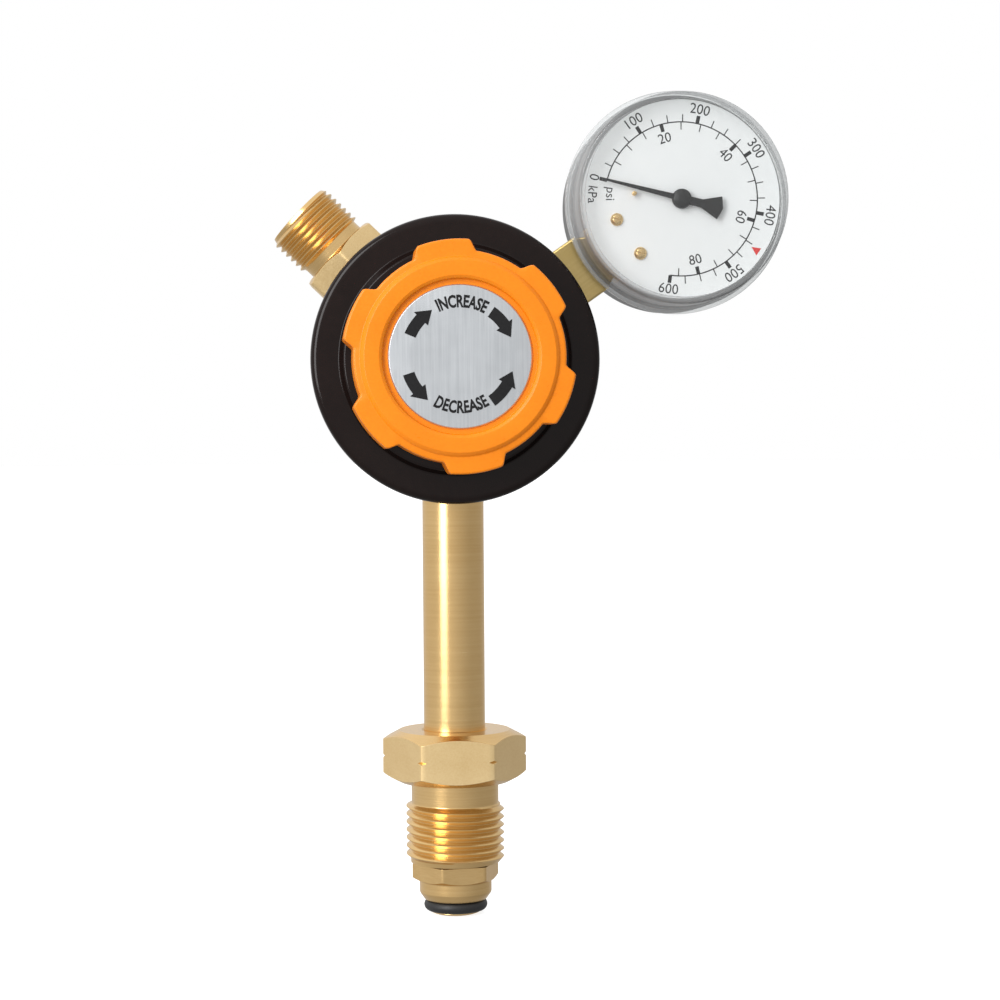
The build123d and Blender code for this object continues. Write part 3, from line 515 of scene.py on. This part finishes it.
def prism(bm, points, low, high):
    """Flat shape with an outline of (x, y) points, from one height to another."""
    base = [bm.verts.new((x, y, low)) for x, y in points]
    top = [bm.verts.new((x, y, high)) for x, y in points]
    bm.faces.new(list(reversed(base)))
    bm.faces.new(top)
    for i, vert in enumerate(base):
        following = (i + 1) % len(base)
        bm.faces.new((vert, base[following], top[following], top[i]))


def piece(name, build, place, body, material, stands_for=(), bevel=0.0, cutters=()):
    """One mesh piece. build(bm) draws it in millimetres in the local frame."""
    sharp = radians(32.0)
    bm = bmesh.new()
    build(bm)
    bmesh.ops.remove_doubles(bm, verts=bm.verts, dist=0.001)
    bmesh.ops.recalc_face_normals(bm, faces=bm.faces)
    bmesh.ops.scale(bm, vec=(MM, MM, MM), verts=bm.verts)
    mesh = bpy.data.meshes.new(name)
    bm.to_mesh(mesh)
    bm.free()
    made = bpy.data.objects.new(name, mesh)
    bpy.context.scene.collection.objects.link(made)
    for cutter in cutters:
        cut(made, cutter)
    made.matrix_world = place
    made.data.shade_smooth()
    made.data.set_sharp_from_angle(angle=sharp)
    made.data.materials.clear()
    made.data.materials.append(material)
    if bevel:
        soften_edges(made, bevel, sharp)
    weighted = made.modifiers.new("normals", "WEIGHTED_NORMAL")
    weighted.keep_sharp = True
    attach(made, body)
    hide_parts(*stands_for)
    return made


def soften_edges(made, width, angle):
    """Bevels the edges that are sharper than an angle, to a width in millimetres."""
    edge = made.modifiers.new("edge", "BEVEL")
    edge.width = width * MM
    edge.segments = 3
    edge.limit_method = "ANGLE"
    edge.angle_limit = angle


def mill_flats(made, flats, low, high):
    """Gives the hexagon's flats between two heights their own milled finish."""
    made.data.materials.append(MILLED)
    nearest = (flats / 2 - 0.3) * MM
    for face in made.data.polygons:
        upright = abs(face.normal.z) < 0.2
        outside = Vector(face.center[:2]).length > nearest
        if upright and outside and low * MM < face.center.z < high * MM:
            face.material_index = 1


def cut(made, cutter):
    """Takes the solid that cutter(bm) draws out of a piece that is still at the world's origin."""
    bm = bmesh.new()
    cutter(bm)
    bmesh.ops.recalc_face_normals(bm, faces=bm.faces)
    bmesh.ops.scale(bm, vec=(MM, MM, MM), verts=bm.verts)
    mesh = bpy.data.meshes.new("cutter")
    bm.to_mesh(mesh)
    bm.free()
    tool = bpy.data.objects.new("cutter", mesh)
    bpy.context.scene.collection.objects.link(tool)
    carve = made.modifiers.new("cut", "BOOLEAN")
    carve.object = tool
    carve.solver = "EXACT"
    bake(made)
    bpy.data.objects.remove(tool)


def bake(made):
    """Applies a piece's modifiers to its mesh."""
    shown = made.evaluated_get(bpy.context.evaluated_depsgraph_get())
    made.data = bpy.data.meshes.new_from_object(shown)
    made.modifiers.clear()


# ---------------------------------------------------------------- inlet
def stem():
    shoulder = -PORT_FACE - CLEAR

    def build(bm):
        lathe(bm, [(STEM_BORE_R, STEM_END), (STEM_R, STEM_END, 0.3), (STEM_R, shoulder),
                   (SPIGOT_R, shoulder), (SPIGOT_R, SPIGOT_END), (STEM_BORE_R, SPIGOT_END)])
    piece("inlet_tube", build, STEM, "regulator", TURNED, ["inlet_stem"])


def nut():
    hex_bottom = NUT_TOP - NUT_HEX_HEIGHT
    middle = (NUT_TOP + hex_bottom) / 2
    notch_r = NUT_FLATS / sqrt(3) - NUT_NOTCH_DEPTH
    start = NUT_FLATS / 2 * NUT_LAND

    def tip_limit(height):
        return NUT_TIP_R + (height - NUT_BOTTOM) * NUT_TIP_SLOPE

    def build(bm):
        radius = left_thread(bm, NUT_THREAD, NUT_PITCH, NUT_CREST_R, NUT_THREAD_DEPTH, tip_limit)

        def outline(angle):
            reach = hex_radius(NUT_FLATS, angle)
            notch = max(reach - notch_r, 0.0)
            drop = hex_chamfer(NUT_FLATS, reach, NUT_LAND)
            neck = [(radius(angle, NUT_THREAD[1]), NUT_THREAD[1]),
                    (NUT_NECK_R, NUT_THREAD[1] + NUT_RUNOUT, 0.3),
                    (NUT_NECK_R, hex_bottom, 0.5)]
            hexagon = [(start, hex_bottom, 0.15), (reach, hex_bottom + drop, 0.12),
                       (reach, middle - notch), (min(reach, notch_r), middle), (reach, middle + notch),
                       (reach, NUT_TOP - drop, 0.12), (start, NUT_TOP, 0.15)]
            bore = [(NUT_BORE_R + 0.5, NUT_TOP, 0.1), (NUT_BORE_R, NUT_TOP - 0.5, 0.1),
                    (NUT_BORE_R, NUT_BOTTOM + 0.4, 0.1), (NUT_BORE_R + 0.4, NUT_BOTTOM, 0.1)]
            tip = [(NUT_TIP_R, NUT_BOTTOM), (radius(angle, NUT_THREAD[0]), NUT_THREAD[0])]
            return rounded(neck + hexagon + bore + tip, 3)

        ring_columns(bm, evenly(THREAD_COLUMNS), outline)
    made = piece("inlet_union_nut", build, STEM, "nut", TURNED, ["inlet_nut"])
    mill_flats(made, NUT_FLATS, hex_bottom, NUT_TOP)


def nipple():
    hex_bottom = STEM_END - NOSE_HEX_HEIGHT
    groove_r = RING_MEAN_R - RING_SECTION_R
    groove_low = RING_Z - RING_SECTION_R
    groove_high = RING_Z + RING_SECTION_R

    def build(bm):
        def outline(angle):
            reach = hex_radius(NOSE_FLATS, angle - NOSE_TURN)
            drop = hex_chamfer(NOSE_FLATS, reach)
            tip = [(NOSE_BORE_R, NOSE_TIP + 0.3), (NOSE_BORE_R + 0.3, NOSE_TIP),
                   (NOSE_TIP_R, NOSE_TIP, 0.3), (NOSE_LIP_R, groove_low - NOSE_LIP, 0.3),
                   (NOSE_LIP_R - BLUNT, groove_low)]
            groove = [(groove_r, groove_low), (groove_r, groove_high), (NOSE_SHOULDER_R, groove_high, 0.25)]
            nose = [(NOSE_R, NOSE_BAND_END, 1.1), (NOSE_R, hex_bottom, 0.25)]
            hexagon = [(NOSE_FLATS / 2 * LAND, hex_bottom, 0.1), (reach, hex_bottom + drop, 0.1),
                       (reach, STEM_END - BLUNT, 0.1), (STEM_R - 0.3, STEM_END - CLEAR)]
            bore = [(NOSE_BORE_R, STEM_END - CLEAR), (NOSE_BORE_R, NOSE_TIP + 0.3)]
            return rounded(tip + groove + nose + hexagon + bore, 3)

        ring_columns(bm, evenly(240), outline)
    piece("inlet_nose_piece", build, STEM, "regulator", TURNED, ["inlet_nipple"])


def seal_ring():
    section = [polar(RING_SECTION_R, angle) for angle in evenly(28)]

    def build(bm):
        lathe(bm, [(RING_MEAN_R + across, RING_Z + along) for across, along in section], 160)
    piece("nose_seal", build, STEM, "regulator", FINISHES["black_rubber"], ["nose_o_ring"])


# ---------------------------------------------------------------- outlet
def outlet():
    face = PORT_FACE + CLEAR
    start = OUTLET_FLATS / 2 * LAND
    tip_start = OUTLET_END - OUTLET_TIP_LENGTH

    def tip_limit(height):
        return OUTLET_CREST_R - BLUNT + min(0.0, tip_start - height) * OUTLET_TIP_SLOPE

    def build(bm):
        radius = left_thread(bm, OUTLET_THREAD, OUTLET_PITCH, OUTLET_CREST_R, OUTLET_THREAD_DEPTH, tip_limit)

        def outline(angle):
            reach = hex_radius(OUTLET_FLATS, angle - OUTLET_HEX_TURN)
            drop = hex_chamfer(OUTLET_FLATS, reach)
            tip = [(radius(angle, OUTLET_THREAD[1]), OUTLET_THREAD[1]), (OUTLET_TIP_R, OUTLET_END, 0.15)]
            bore = [(OUTLET_MOUTH_R, OUTLET_END, 0.1), (OUTLET_BORE_R, OUTLET_END - OUTLET_MOUTH_DEPTH, 0.1),
                    (OUTLET_BORE_R, OUTLET_SPIGOT_END)]
            spigot = [(OUTLET_SPIGOT_R, OUTLET_SPIGOT_END), (OUTLET_SPIGOT_R, face)]
            hexagon = [(start, face), (reach, face, 0.1), (reach, OUTLET_HEX_END - drop, 0.12),
                       (start, OUTLET_HEX_END, 0.12)]
            neck = [(OUTLET_NECK_R, OUTLET_HEX_END, 0.25),
                    (OUTLET_NECK_R, OUTLET_THREAD[0] - OUTLET_RUNOUT, 0.2),
                    (radius(angle, OUTLET_THREAD[0]), OUTLET_THREAD[0])]
            return rounded(tip + bore + spigot + hexagon + neck, 3)

        ring_columns(bm, evenly(THREAD_COLUMNS), outline)
    made = piece("outlet_union", build, OUTLET, "regulator", TURNED, ["outlet_fitting"])
    mill_flats(made, OUTLET_FLATS, PORT_FACE, OUTLET_HEX_END)


# ---------------------------------------------------------------- body, bonnet and knob
def forged_body():
    """The CAD body with its edges melted together, as in a forging."""
    source = frame["nodes"]["regulator_body"]
    made = bpy.data.objects.new("forged_body", source.data.copy())
    bpy.context.scene.collection.objects.link(made)
    remesh = made.modifiers.new("remesh", "REMESH")
    remesh.mode = "VOXEL"
    remesh.voxel_size = 0.5 * MM
    soften = made.modifiers.new("soften", "SMOOTH")
    soften.factor = 0.5
    soften.iterations = 7
    bake(made)
    made.data.shade_smooth()
    made.data.materials.clear()
    made.data.materials.append(FINISHES["forged_brass"])
    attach(made, "regulator")
    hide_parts("regulator_body")


def bonnet():
    ceiling = HUB_FRONT - HUB_WALL

    def build(bm):
        hub = [(HUB_BORE_R, HUB_FRONT), (HUB_R - HUB_CHAMFER, HUB_FRONT, 0.4),
               (HUB_R, HUB_FRONT - HUB_CHAMFER, 0.4), (HUB_R, PLATEAU, 0.8)]
        outside = [(PLATEAU_R - 0.5, PLATEAU, 0.7), (PLATEAU_R + 0.6, BONNET_FACE, 0.5),
                   (BONNET_R, BONNET_FACE, 1.9), (BONNET_R, BONNET_BACK, 0.5)]
        inside = [(BONNET_CAVITY_R, BONNET_BACK, 0.3), (BONNET_CAVITY_R, BONNET_SEAT),
                  (BONNET_SEAT_R, BONNET_SEAT), *BONNET_VAULT, (HUB_CAVITY_R, ceiling),
                  (HUB_BORE_R, ceiling)]
        lathe(bm, hub + outside + inside, 360, 6)
    piece("bonnet_shell", build, KNOB, "regulator", FINISHES["black_enamel"], ["bonnet"])


def smooth_step(t):
    """0 to 1 with a soft start and end."""
    t = min(max(t, 0.0), 1.0)
    return t * t * (3 - 2 * t)


def lobe_share(angle):
    """1 on a lobe, 0 in a valley, and a soft flank between them."""
    step = 360.0 / LOBES
    away = abs((angle - LOBE_ANGLE + step / 2) % step - step / 2)
    return smooth_step((LOBE_WIDTH / 2 + FLANK / 2 - away) / FLANK)


def knob():
    def build(bm):
        def outline(angle):
            front = VALLEY_R + (LOBE_R - VALLEY_R) * lobe_share(angle)
            back = front + KNOB_DRAFT
            well = [(0.0, KNOB_LEDGE), (LABEL_WELL_R, KNOB_LEDGE, 0.15),
                    (LABEL_WELL_R + 0.2, KNOB_CROWN - 0.4, 0.2)]
            crown = [(CROWN_R[0], KNOB_CROWN, 0.35), (CROWN_R[1], KNOB_CROWN, 0.35),
                     (CROWN_R[1] + 0.6, KNOB_CROWN - 0.5, 0.3), (CROWN_R[1] + 0.9, KNOB_RIM + 0.1, 0.3)]
            grip = [(front, KNOB_RIM - 0.05, 0.6), (back, KNOB_BACK, 0.6)]
            cavity = [(KNOB_CAVITY_R, KNOB_BACK, 0.3), (KNOB_CAVITY_R, KNOB_CEILING, 0.3),
                      (0.0, KNOB_CEILING)]
            return rounded(well + crown + grip + cavity, 4)

        ring_columns(bm, evenly(720), outline)
    piece("knob_grip", build, KNOB, "hand_knob", FINISHES["orange_plastic"], ["knob"])


def label_plate():
    back = KNOB_LEDGE + 0.01

    def build(bm):
        lathe(bm, [(0.0, LABEL_FACE), (LABEL_R * 0.7, LABEL_FACE - 0.04, 3.0),
                   (LABEL_R - 0.25, LABEL_FACE - 0.2, 0.2), (LABEL_R, LABEL_FACE - 0.45, 0.1),
                   (LABEL_R, back), (0.0, back)])
    piece("label_plate", build, KNOB, "hand_knob", FINISHES["label_foil"], ["label_disc"])


def letters(bm, text, size, height, bend, weight, width):
    """Raised letters. bend(x, y) moves each point of the flat text to its place."""
    curve = bpy.data.curves.new("letters", "FONT")
    curve.body = text
    curve.size = size
    curve.offset = weight
    curve.align_x = "CENTER"
    curve.align_y = "CENTER"
    curve.extrude = INK / 2
    curve.resolution_u = 3
    holder = bpy.data.objects.new("letters", curve)
    bpy.context.scene.collection.objects.link(holder)
    shown = holder.evaluated_get(bpy.context.evaluated_depsgraph_get())
    mesh = bpy.data.meshes.new_from_object(shown)
    for vert in mesh.vertices:
        x, y = bend(vert.co.x * width, vert.co.y)
        vert.co = (x, y, height + INK / 2 + vert.co.z)
    bm.from_mesh(mesh)
    bpy.data.objects.remove(holder)


def along_arc(radius, angle, heads_out):
    """Bends flat text round an arc, its middle at that angle."""
    def bend(x, y):
        turn = -x / radius if heads_out else x / radius
        reach = radius + y if heads_out else radius - y
        return polar(reach, angle + degrees(turn))
    return bend


def arrow(bm, tail, tip, height):
    """Curved arrow whose band follows a circle."""
    neck = tip - ARROW_HEAD if tip > tail else tip + ARROW_HEAD
    barb = ARROW_WIDTH * 0.82
    steps = 14
    spread = [tail + (neck - tail) * i / steps for i in range(steps + 1)]
    outer = [polar(ARROW_R + ARROW_WIDTH / 2, angle) for angle in spread]
    inner = [polar(ARROW_R - ARROW_WIDTH / 2, angle) for angle in reversed(spread)]
    head = [polar(ARROW_R + barb, neck), polar(ARROW_R, tip), polar(ARROW_R - barb, neck)]
    prism(bm, outer + head + inner, height, height + INK)


def label_print():
    """Turning arrows and their two words."""
    height = LABEL_FACE - 0.01
    upper = along_arc(LABEL_R * 0.755, 88.0, True)
    lower = along_arc(LABEL_R * 0.705, 270.5, False)

    def build(bm):
        for tail, tip in ARROWS:
            arrow(bm, tail, tip, height)
        letters(bm, "INCREASE", WORD_SIZE, height, upper, WORD_WEIGHT, WORD_WIDTH)
        letters(bm, "DECREASE", WORD_SIZE, height, lower, WORD_WEIGHT, WORD_WIDTH)
    piece("label_print", build, KNOB, "hand_knob", INK_BLACK)


# ---------------------------------------------------------------- gauge
def shank():
    half = SHANK / 2

    def build(bm):
        block(bm, (-half, SHANK_SPAN[0], -half), (half, SHANK_SPAN[1], half - SHANK_FRONT_CUT))
    piece("gauge_shank", build, GAUGE, "regulator", SHADED_SHANK_BRASS, ["gauge_socket"],
          bevel=0.5)


def case():
    """Cup with a slot for the shank, black outside and light grey inside."""
    half = SHANK / 2 + 0.1
    inner_r = CASE_R - CASE_WALL
    floor_face = GAUGE_BACK + CASE_WALL

    def build(bm):
        lathe(bm, [(0.0, GAUGE_BACK), (CASE_R, GAUGE_BACK, 2.2), (CASE_R, CASE_FRONT, 0.15),
                   (inner_r, CASE_FRONT, 0.15), (inner_r, floor_face, 1.6), (0.0, floor_face)], 240, 6)

    def slot(bm):
        block(bm, (-half, CASE_SLOT[0], -half), (half, CASE_SLOT[1], half))
    made = piece("case_shell", build, GAUGE, "regulator", FINISHES["case_black"],
                 ["gauge_case"], cutters=[slot])
    made.data.materials.append(CASE_INSIDE)
    for face in made.data.polygons:
        outward = Vector(face.center[:2]).dot(Vector(face.normal[:2])) > 0.0
        wall_inside = not outward and abs(face.normal.z) < 0.9
        floor_inside = face.normal.z > 0.9 and face.center.z < 0.0
        face.material_index = 1 if floor_inside or wall_inside else 0


def lens():
    """Clear window, and a rim of slightly milky plastic that is denser to look through."""
    inner = LENS_FRONT - LENS_WALL
    seat_r = CASE_R + 0.05

    def window_face(bm):
        lathe(bm, [(0.0, LENS_FRONT), (WINDOW_R, LENS_FRONT), (WINDOW_R, inner), (0.0, inner)])

    def rim(bm):
        outside = [(WINDOW_R, LENS_FRONT), (LENS_SHOULDER_R - 0.1, LENS_FRONT, 0.8),
                   (LENS_SHOULDER_R + 0.1, LENS_FRONT - 1.5, 0.5), (CASE_R, LENS_RIM[1], 0.3),
                   (LENS_RIM_R, LENS_RIM[1], 0.3), (LENS_RIM_R, LENS_RIM[0], 0.3)]
        inside = [(seat_r, LENS_RIM[0]), (seat_r, LENS_SEAT), (CASE_R - LENS_WALL, LENS_SEAT),
                  (LENS_SHOULDER_R - LENS_WALL, inner - 0.6, 0.4), (WINDOW_R, inner)]
        lathe(bm, outside + inside)
    piece("lens_window", window_face, GAUGE, "regulator", FINISHES["clear_plastic"],
          ["gauge_lens"])
    piece("lens_rim", rim, GAUGE, "regulator", RIM_PLASTIC)


def dial():
    back = DIAL_FACE - DIAL_THICKNESS

    def build(bm):
        lathe(bm, [(DIAL_HOLE_R, DIAL_FACE), (DIAL_R, DIAL_FACE, 0.1), (DIAL_R, back, 0.1),
                   (DIAL_HOLE_R, back)])
    piece("dial_plate", build, GAUGE, "regulator", FINISHES["dial_white"], ["gauge_dial"])


def scale_angle(kilopascals):
    """Direction on the dial of a pressure."""
    return ZERO_ANGLE - kilopascals / FULL_SCALE * SWEEP


def tick(bm, angle, low, high, width):
    """Straight mark along a radius of the dial."""
    along = Vector(polar(1.0, angle))
    across = Vector((-along.y, along.x)) * width / 2
    points = [along * low - across, along * high - across, along * high + across, along * low + across]
    prism(bm, [tuple(point) for point in points], DIAL_FACE, DIAL_FACE + INK)


def dial_scales(bm):
    """Outer scale in kPa, inner scale in psi, and the arc between them."""
    steps = 150
    turns = [ZERO_ANGLE - SWEEP * i / steps for i in range(steps + 1)]
    outer = [polar(ARC_R + ARC_WIDTH / 2, angle) for angle in turns]
    inner = [polar(ARC_R - ARC_WIDTH / 2, angle) for angle in reversed(turns)]
    prism(bm, outer + inner, DIAL_FACE, DIAL_FACE + INK)
    for step in range(25):
        width = TICK_WIDTH if step % 4 else MAJOR_WIDTH
        tick(bm, scale_angle(step * 25.0), ARC_R, ARC_R + TICK, width)
    for step in range(1, 18):
        width = TICK_WIDTH if step % 4 else MAJOR_WIDTH
        tick(bm, scale_angle(step * 5.0 * PSI), ARC_R - TICK, ARC_R, width)


def dial_letter(bm, text, radius, angle, size):
    """Numbers stand with their heads outward on the upper half and inward on the lower half."""
    upper_half = 0.0 < angle % 360.0 < 180.0
    letters(bm, text, size, DIAL_FACE, along_arc(radius, angle, upper_half), 0.0, LETTER_WIDTH)


def dial_print():
    def build(bm):
        dial_scales(bm)
        for number in range(100, 700, 100):
            dial_letter(bm, str(number), KPA_NUMBER_R, scale_angle(number), KPA_NUMBER_SIZE)
        for number in range(20, 100, 20):
            dial_letter(bm, str(number), PSI_NUMBER_R, scale_angle(number * PSI), PSI_NUMBER_SIZE)
        dial_letter(bm, "0", ZERO_R, ZERO_ANGLE, PSI_NUMBER_SIZE)
        dial_letter(bm, "kPa", KPA_UNIT[0], ZERO_ANGLE + KPA_UNIT[1], UNIT_SIZE)
        dial_letter(bm, "psi", PSI_UNIT[0], ZERO_ANGLE + PSI_UNIT[1], UNIT_SIZE)
    piece("dial_print", build, GAUGE, "regulator", INK_BLACK)

    def red_mark(bm):
        angle = scale_angle(RED_MARK)
        base_r = ARC_R + 3.9
        points = [polar(ARC_R + 1.9, angle), polar(base_r, angle + 2.6), polar(base_r, angle - 2.6)]
        prism(bm, points, DIAL_FACE, DIAL_FACE + INK)
    piece("dial_red_mark", red_mark, GAUGE, "regulator", INK_RED)


def dial_screws():
    """Two slotted round heads. The first stands for the CAD node that holds both."""
    def build(bm):
        lathe(bm, [(0.0, DIAL_FACE + 0.95), (0.9, DIAL_FACE + 0.85, 0.5),
                   (DIAL_SCREW_R, DIAL_FACE + 0.35, 0.2), (DIAL_SCREW_R, DIAL_FACE), (0.0, DIAL_FACE)], 64)

    def slot(bm):
        block(bm, (-2.0, -0.17, DIAL_FACE + 0.5), (2.0, 0.17, DIAL_FACE + 2.0))
    turn = Matrix.Rotation(radians(35.0), 4, "Z")
    for side, (x, y) in zip(("left", "right"), DIAL_SCREWS):
        place = GAUGE @ Matrix.Translation((x * MM, y * MM, 0.0)) @ turn
        piece("dial_screw_" + side, build, place, "regulator", FINISHES["movement_brass"],
              ["dial_screws"] if side == "left" else [], cutters=[slot])


def stop_pin():
    top = DIAL_FACE + PIN_HEIGHT

    def build(bm):
        lathe(bm, [(0.0, top), (PIN_R, top, 0.2), (PIN_R, DIAL_FACE), (0.0, DIAL_FACE)], 40)
    x, y = polar(PIN_PLACE[0], ZERO_ANGLE + PIN_PLACE[1])
    place = GAUGE @ Matrix.Translation((x * MM, y * MM, 0.0))
    piece("stop_pin", build, place, "regulator", FINISHES["movement_brass"],
          ["pointer_stop_pin"])


def pointer():
    """Blade with a flared tail, and a domed hub, drawn along X and turned to zero."""
    place = GAUGE @ Matrix.Rotation(radians(ZERO_ANGLE), 4, "Z")
    hub_back = POINTER_FACE - 0.7
    socket = POINTER_FACE + 0.5

    def blade(bm):
        side = [(-9.4, 0.0), (-8.6, 2.6), (-4.6, 0.95), (-2.0, 0.9), (1.5, 0.62), (POINTER_LENGTH, 0.24)]
        other = [(x, -y) for x, y in reversed(side[1:])]
        prism(bm, side + other, POINTER_FACE - 0.2, POINTER_FACE + 0.15)
    piece("pointer_blade", blade, place, "pointer_shaft", FINISHES["pointer_black"],
          ["pointer"], bevel=0.06)

    def hub(bm):
        lathe(bm, [(0.0, POINTER_FACE + 0.9), (0.9, POINTER_FACE + 0.85, 0.6),
                   (2.0, POINTER_FACE + 0.45, 0.5), (HUB_CAP_R, POINTER_FACE - 0.2, 0.2),
                   (HUB_CAP_R, hub_back, 0.1), (ARBOR_R, hub_back), (ARBOR_R, socket),
                   (0.0, socket)], 96)
    piece("pointer_hub", hub, place, "pointer_shaft", FINISHES["pointer_black"])


# ---------------------------------------------------------------- CAD nodes that stay
def dress_cad_nodes():
    """A finish for every CAD node, and softened edges for the ones that show outside."""
    for part in frame["record"]["subparts"]:
        made = frame["nodes"][part["node"]]
        made.data.materials.clear()
        made.data.materials.append(FINISHES[part["material_slot"]])
    for name in ("back_cap", "case_screws", "blow_out_plug"):
        soften_edges(frame["nodes"][name], 0.25, radians(35.0))


# ---------------------------------------------------------------- studio
def floor():
    """Plain pale disc that glows a little, but neither lights the object nor shows in its reflections."""
    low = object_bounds()[0]
    bm = bmesh.new()
    bmesh.ops.create_circle(bm, cap_ends=True, segments=96, radius=FLOOR_R)
    mesh = bpy.data.meshes.new("floor")
    bm.to_mesh(mesh)
    bm.free()
    made = bpy.data.objects.new("floor", mesh)
    bpy.context.scene.collection.objects.link(made)
    made.location.z = low[2]
    material = finish("floor_white", (0.50, 0.50, 0.50), (0.54, 0.54, 0.54), (0.55, 0.65), scale=40.0,
                      bump=0.0)
    shader = material.node_tree.nodes["Principled BSDF"]
    shader.inputs["Emission Color"].default_value = (1, 1, 1, 1)
    shader.inputs["Emission Strength"].default_value = 0.8
    made.data.materials.append(material)
    made.visible_glossy = False
    made.visible_diffuse = False
    made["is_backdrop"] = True


def softbox(name, place, width, height, radiance):
    """Area light that faces the object."""
    light = bpy.data.lights.new(name, "AREA")
    light.shape = "RECTANGLE"
    light.size = width
    light.size_y = height
    light.energy = radiance * pi * width * height
    made = bpy.data.objects.new(name, light)
    bpy.context.scene.collection.objects.link(made)
    made.location = CROSSING + Vector(place)
    made.rotation_euler = (-Vector(place)).to_track_quat("-Z", "Y").to_euler()


def studio():
    """One softbox in a pale room that is darker below and to the right. The camera sees plain white."""
    world = bpy.data.worlds.new("studio")
    bpy.context.scene.world = world
    world.use_nodes = True
    tree = world.node_tree
    back = tree.nodes["Background"]
    where = tree.nodes.new("ShaderNodeTexCoord").outputs["Generated"]
    split = node(tree, "ShaderNodeSeparateXYZ", Vector=where).outputs
    level = node(tree, "ShaderNodeMapRange", i0=split["Z"], i1=-0.6, i2=0.6, i3=0.50, i4=1.0)
    tree.links.new(level.outputs[0], back.inputs["Color"])
    fade = node(tree, "ShaderNodeMapRange", i0=split["X"], i1=-0.1, i2=0.9, i3=1.0, i4=0.62)
    tree.links.new(fade.outputs[0], back.inputs["Strength"])
    seen = node(tree, "ShaderNodeBackground", Color=(1, 1, 1, 1))
    path = tree.nodes.new("ShaderNodeLightPath")
    both = node(tree, "ShaderNodeMixShader", i0=path.outputs["Is Camera Ray"], i1=back.outputs[0],
                i2=seen.outputs[0])
    tree.links.new(both.outputs[0], tree.nodes["World Output"].inputs["Surface"])
    softbox("key", KEY_PLACE, *KEY_SIZE, KEY_RADIANCE)


def camera():
    """The photograph's view: from a little left of the knob's axis and a little below it."""
    yaw, pitch, roll = [radians(angle) for angle in CAMERA_TURN]
    forward = Vector((sin(yaw) * cos(pitch), cos(yaw) * cos(pitch), sin(pitch)))
    level = Vector((cos(yaw), -sin(yaw), 0.0))
    upright = level.cross(forward)
    right = level * cos(roll) + upright * sin(roll)
    up = upright * cos(roll) - level * sin(roll)
    data = bpy.data.cameras.new("camera")
    data.lens = FOCAL_LENGTH
    data.sensor_width = 36.0
    made = bpy.data.objects.new("camera", data)
    bpy.context.scene.collection.objects.link(made)
    matrix = Matrix((right, up, -forward)).transposed().to_4x4()
    matrix.translation = CROSSING + Vector(CAMERA_PLACE) * MM
    made.matrix_world = matrix
    bpy.context.scene.camera = made


# ---------------------------------------------------------------- build
dress_cad_nodes()
for make in (stem, nut, nipple, seal_ring, outlet, forged_body, bonnet, knob, label_plate, label_print,
             shank, case, lens, dial, dial_print, dial_screws, stop_pin, pointer):
    make()
floor()
studio()
camera()
bpy.context.scene.view_settings.view_transform = "Standard"
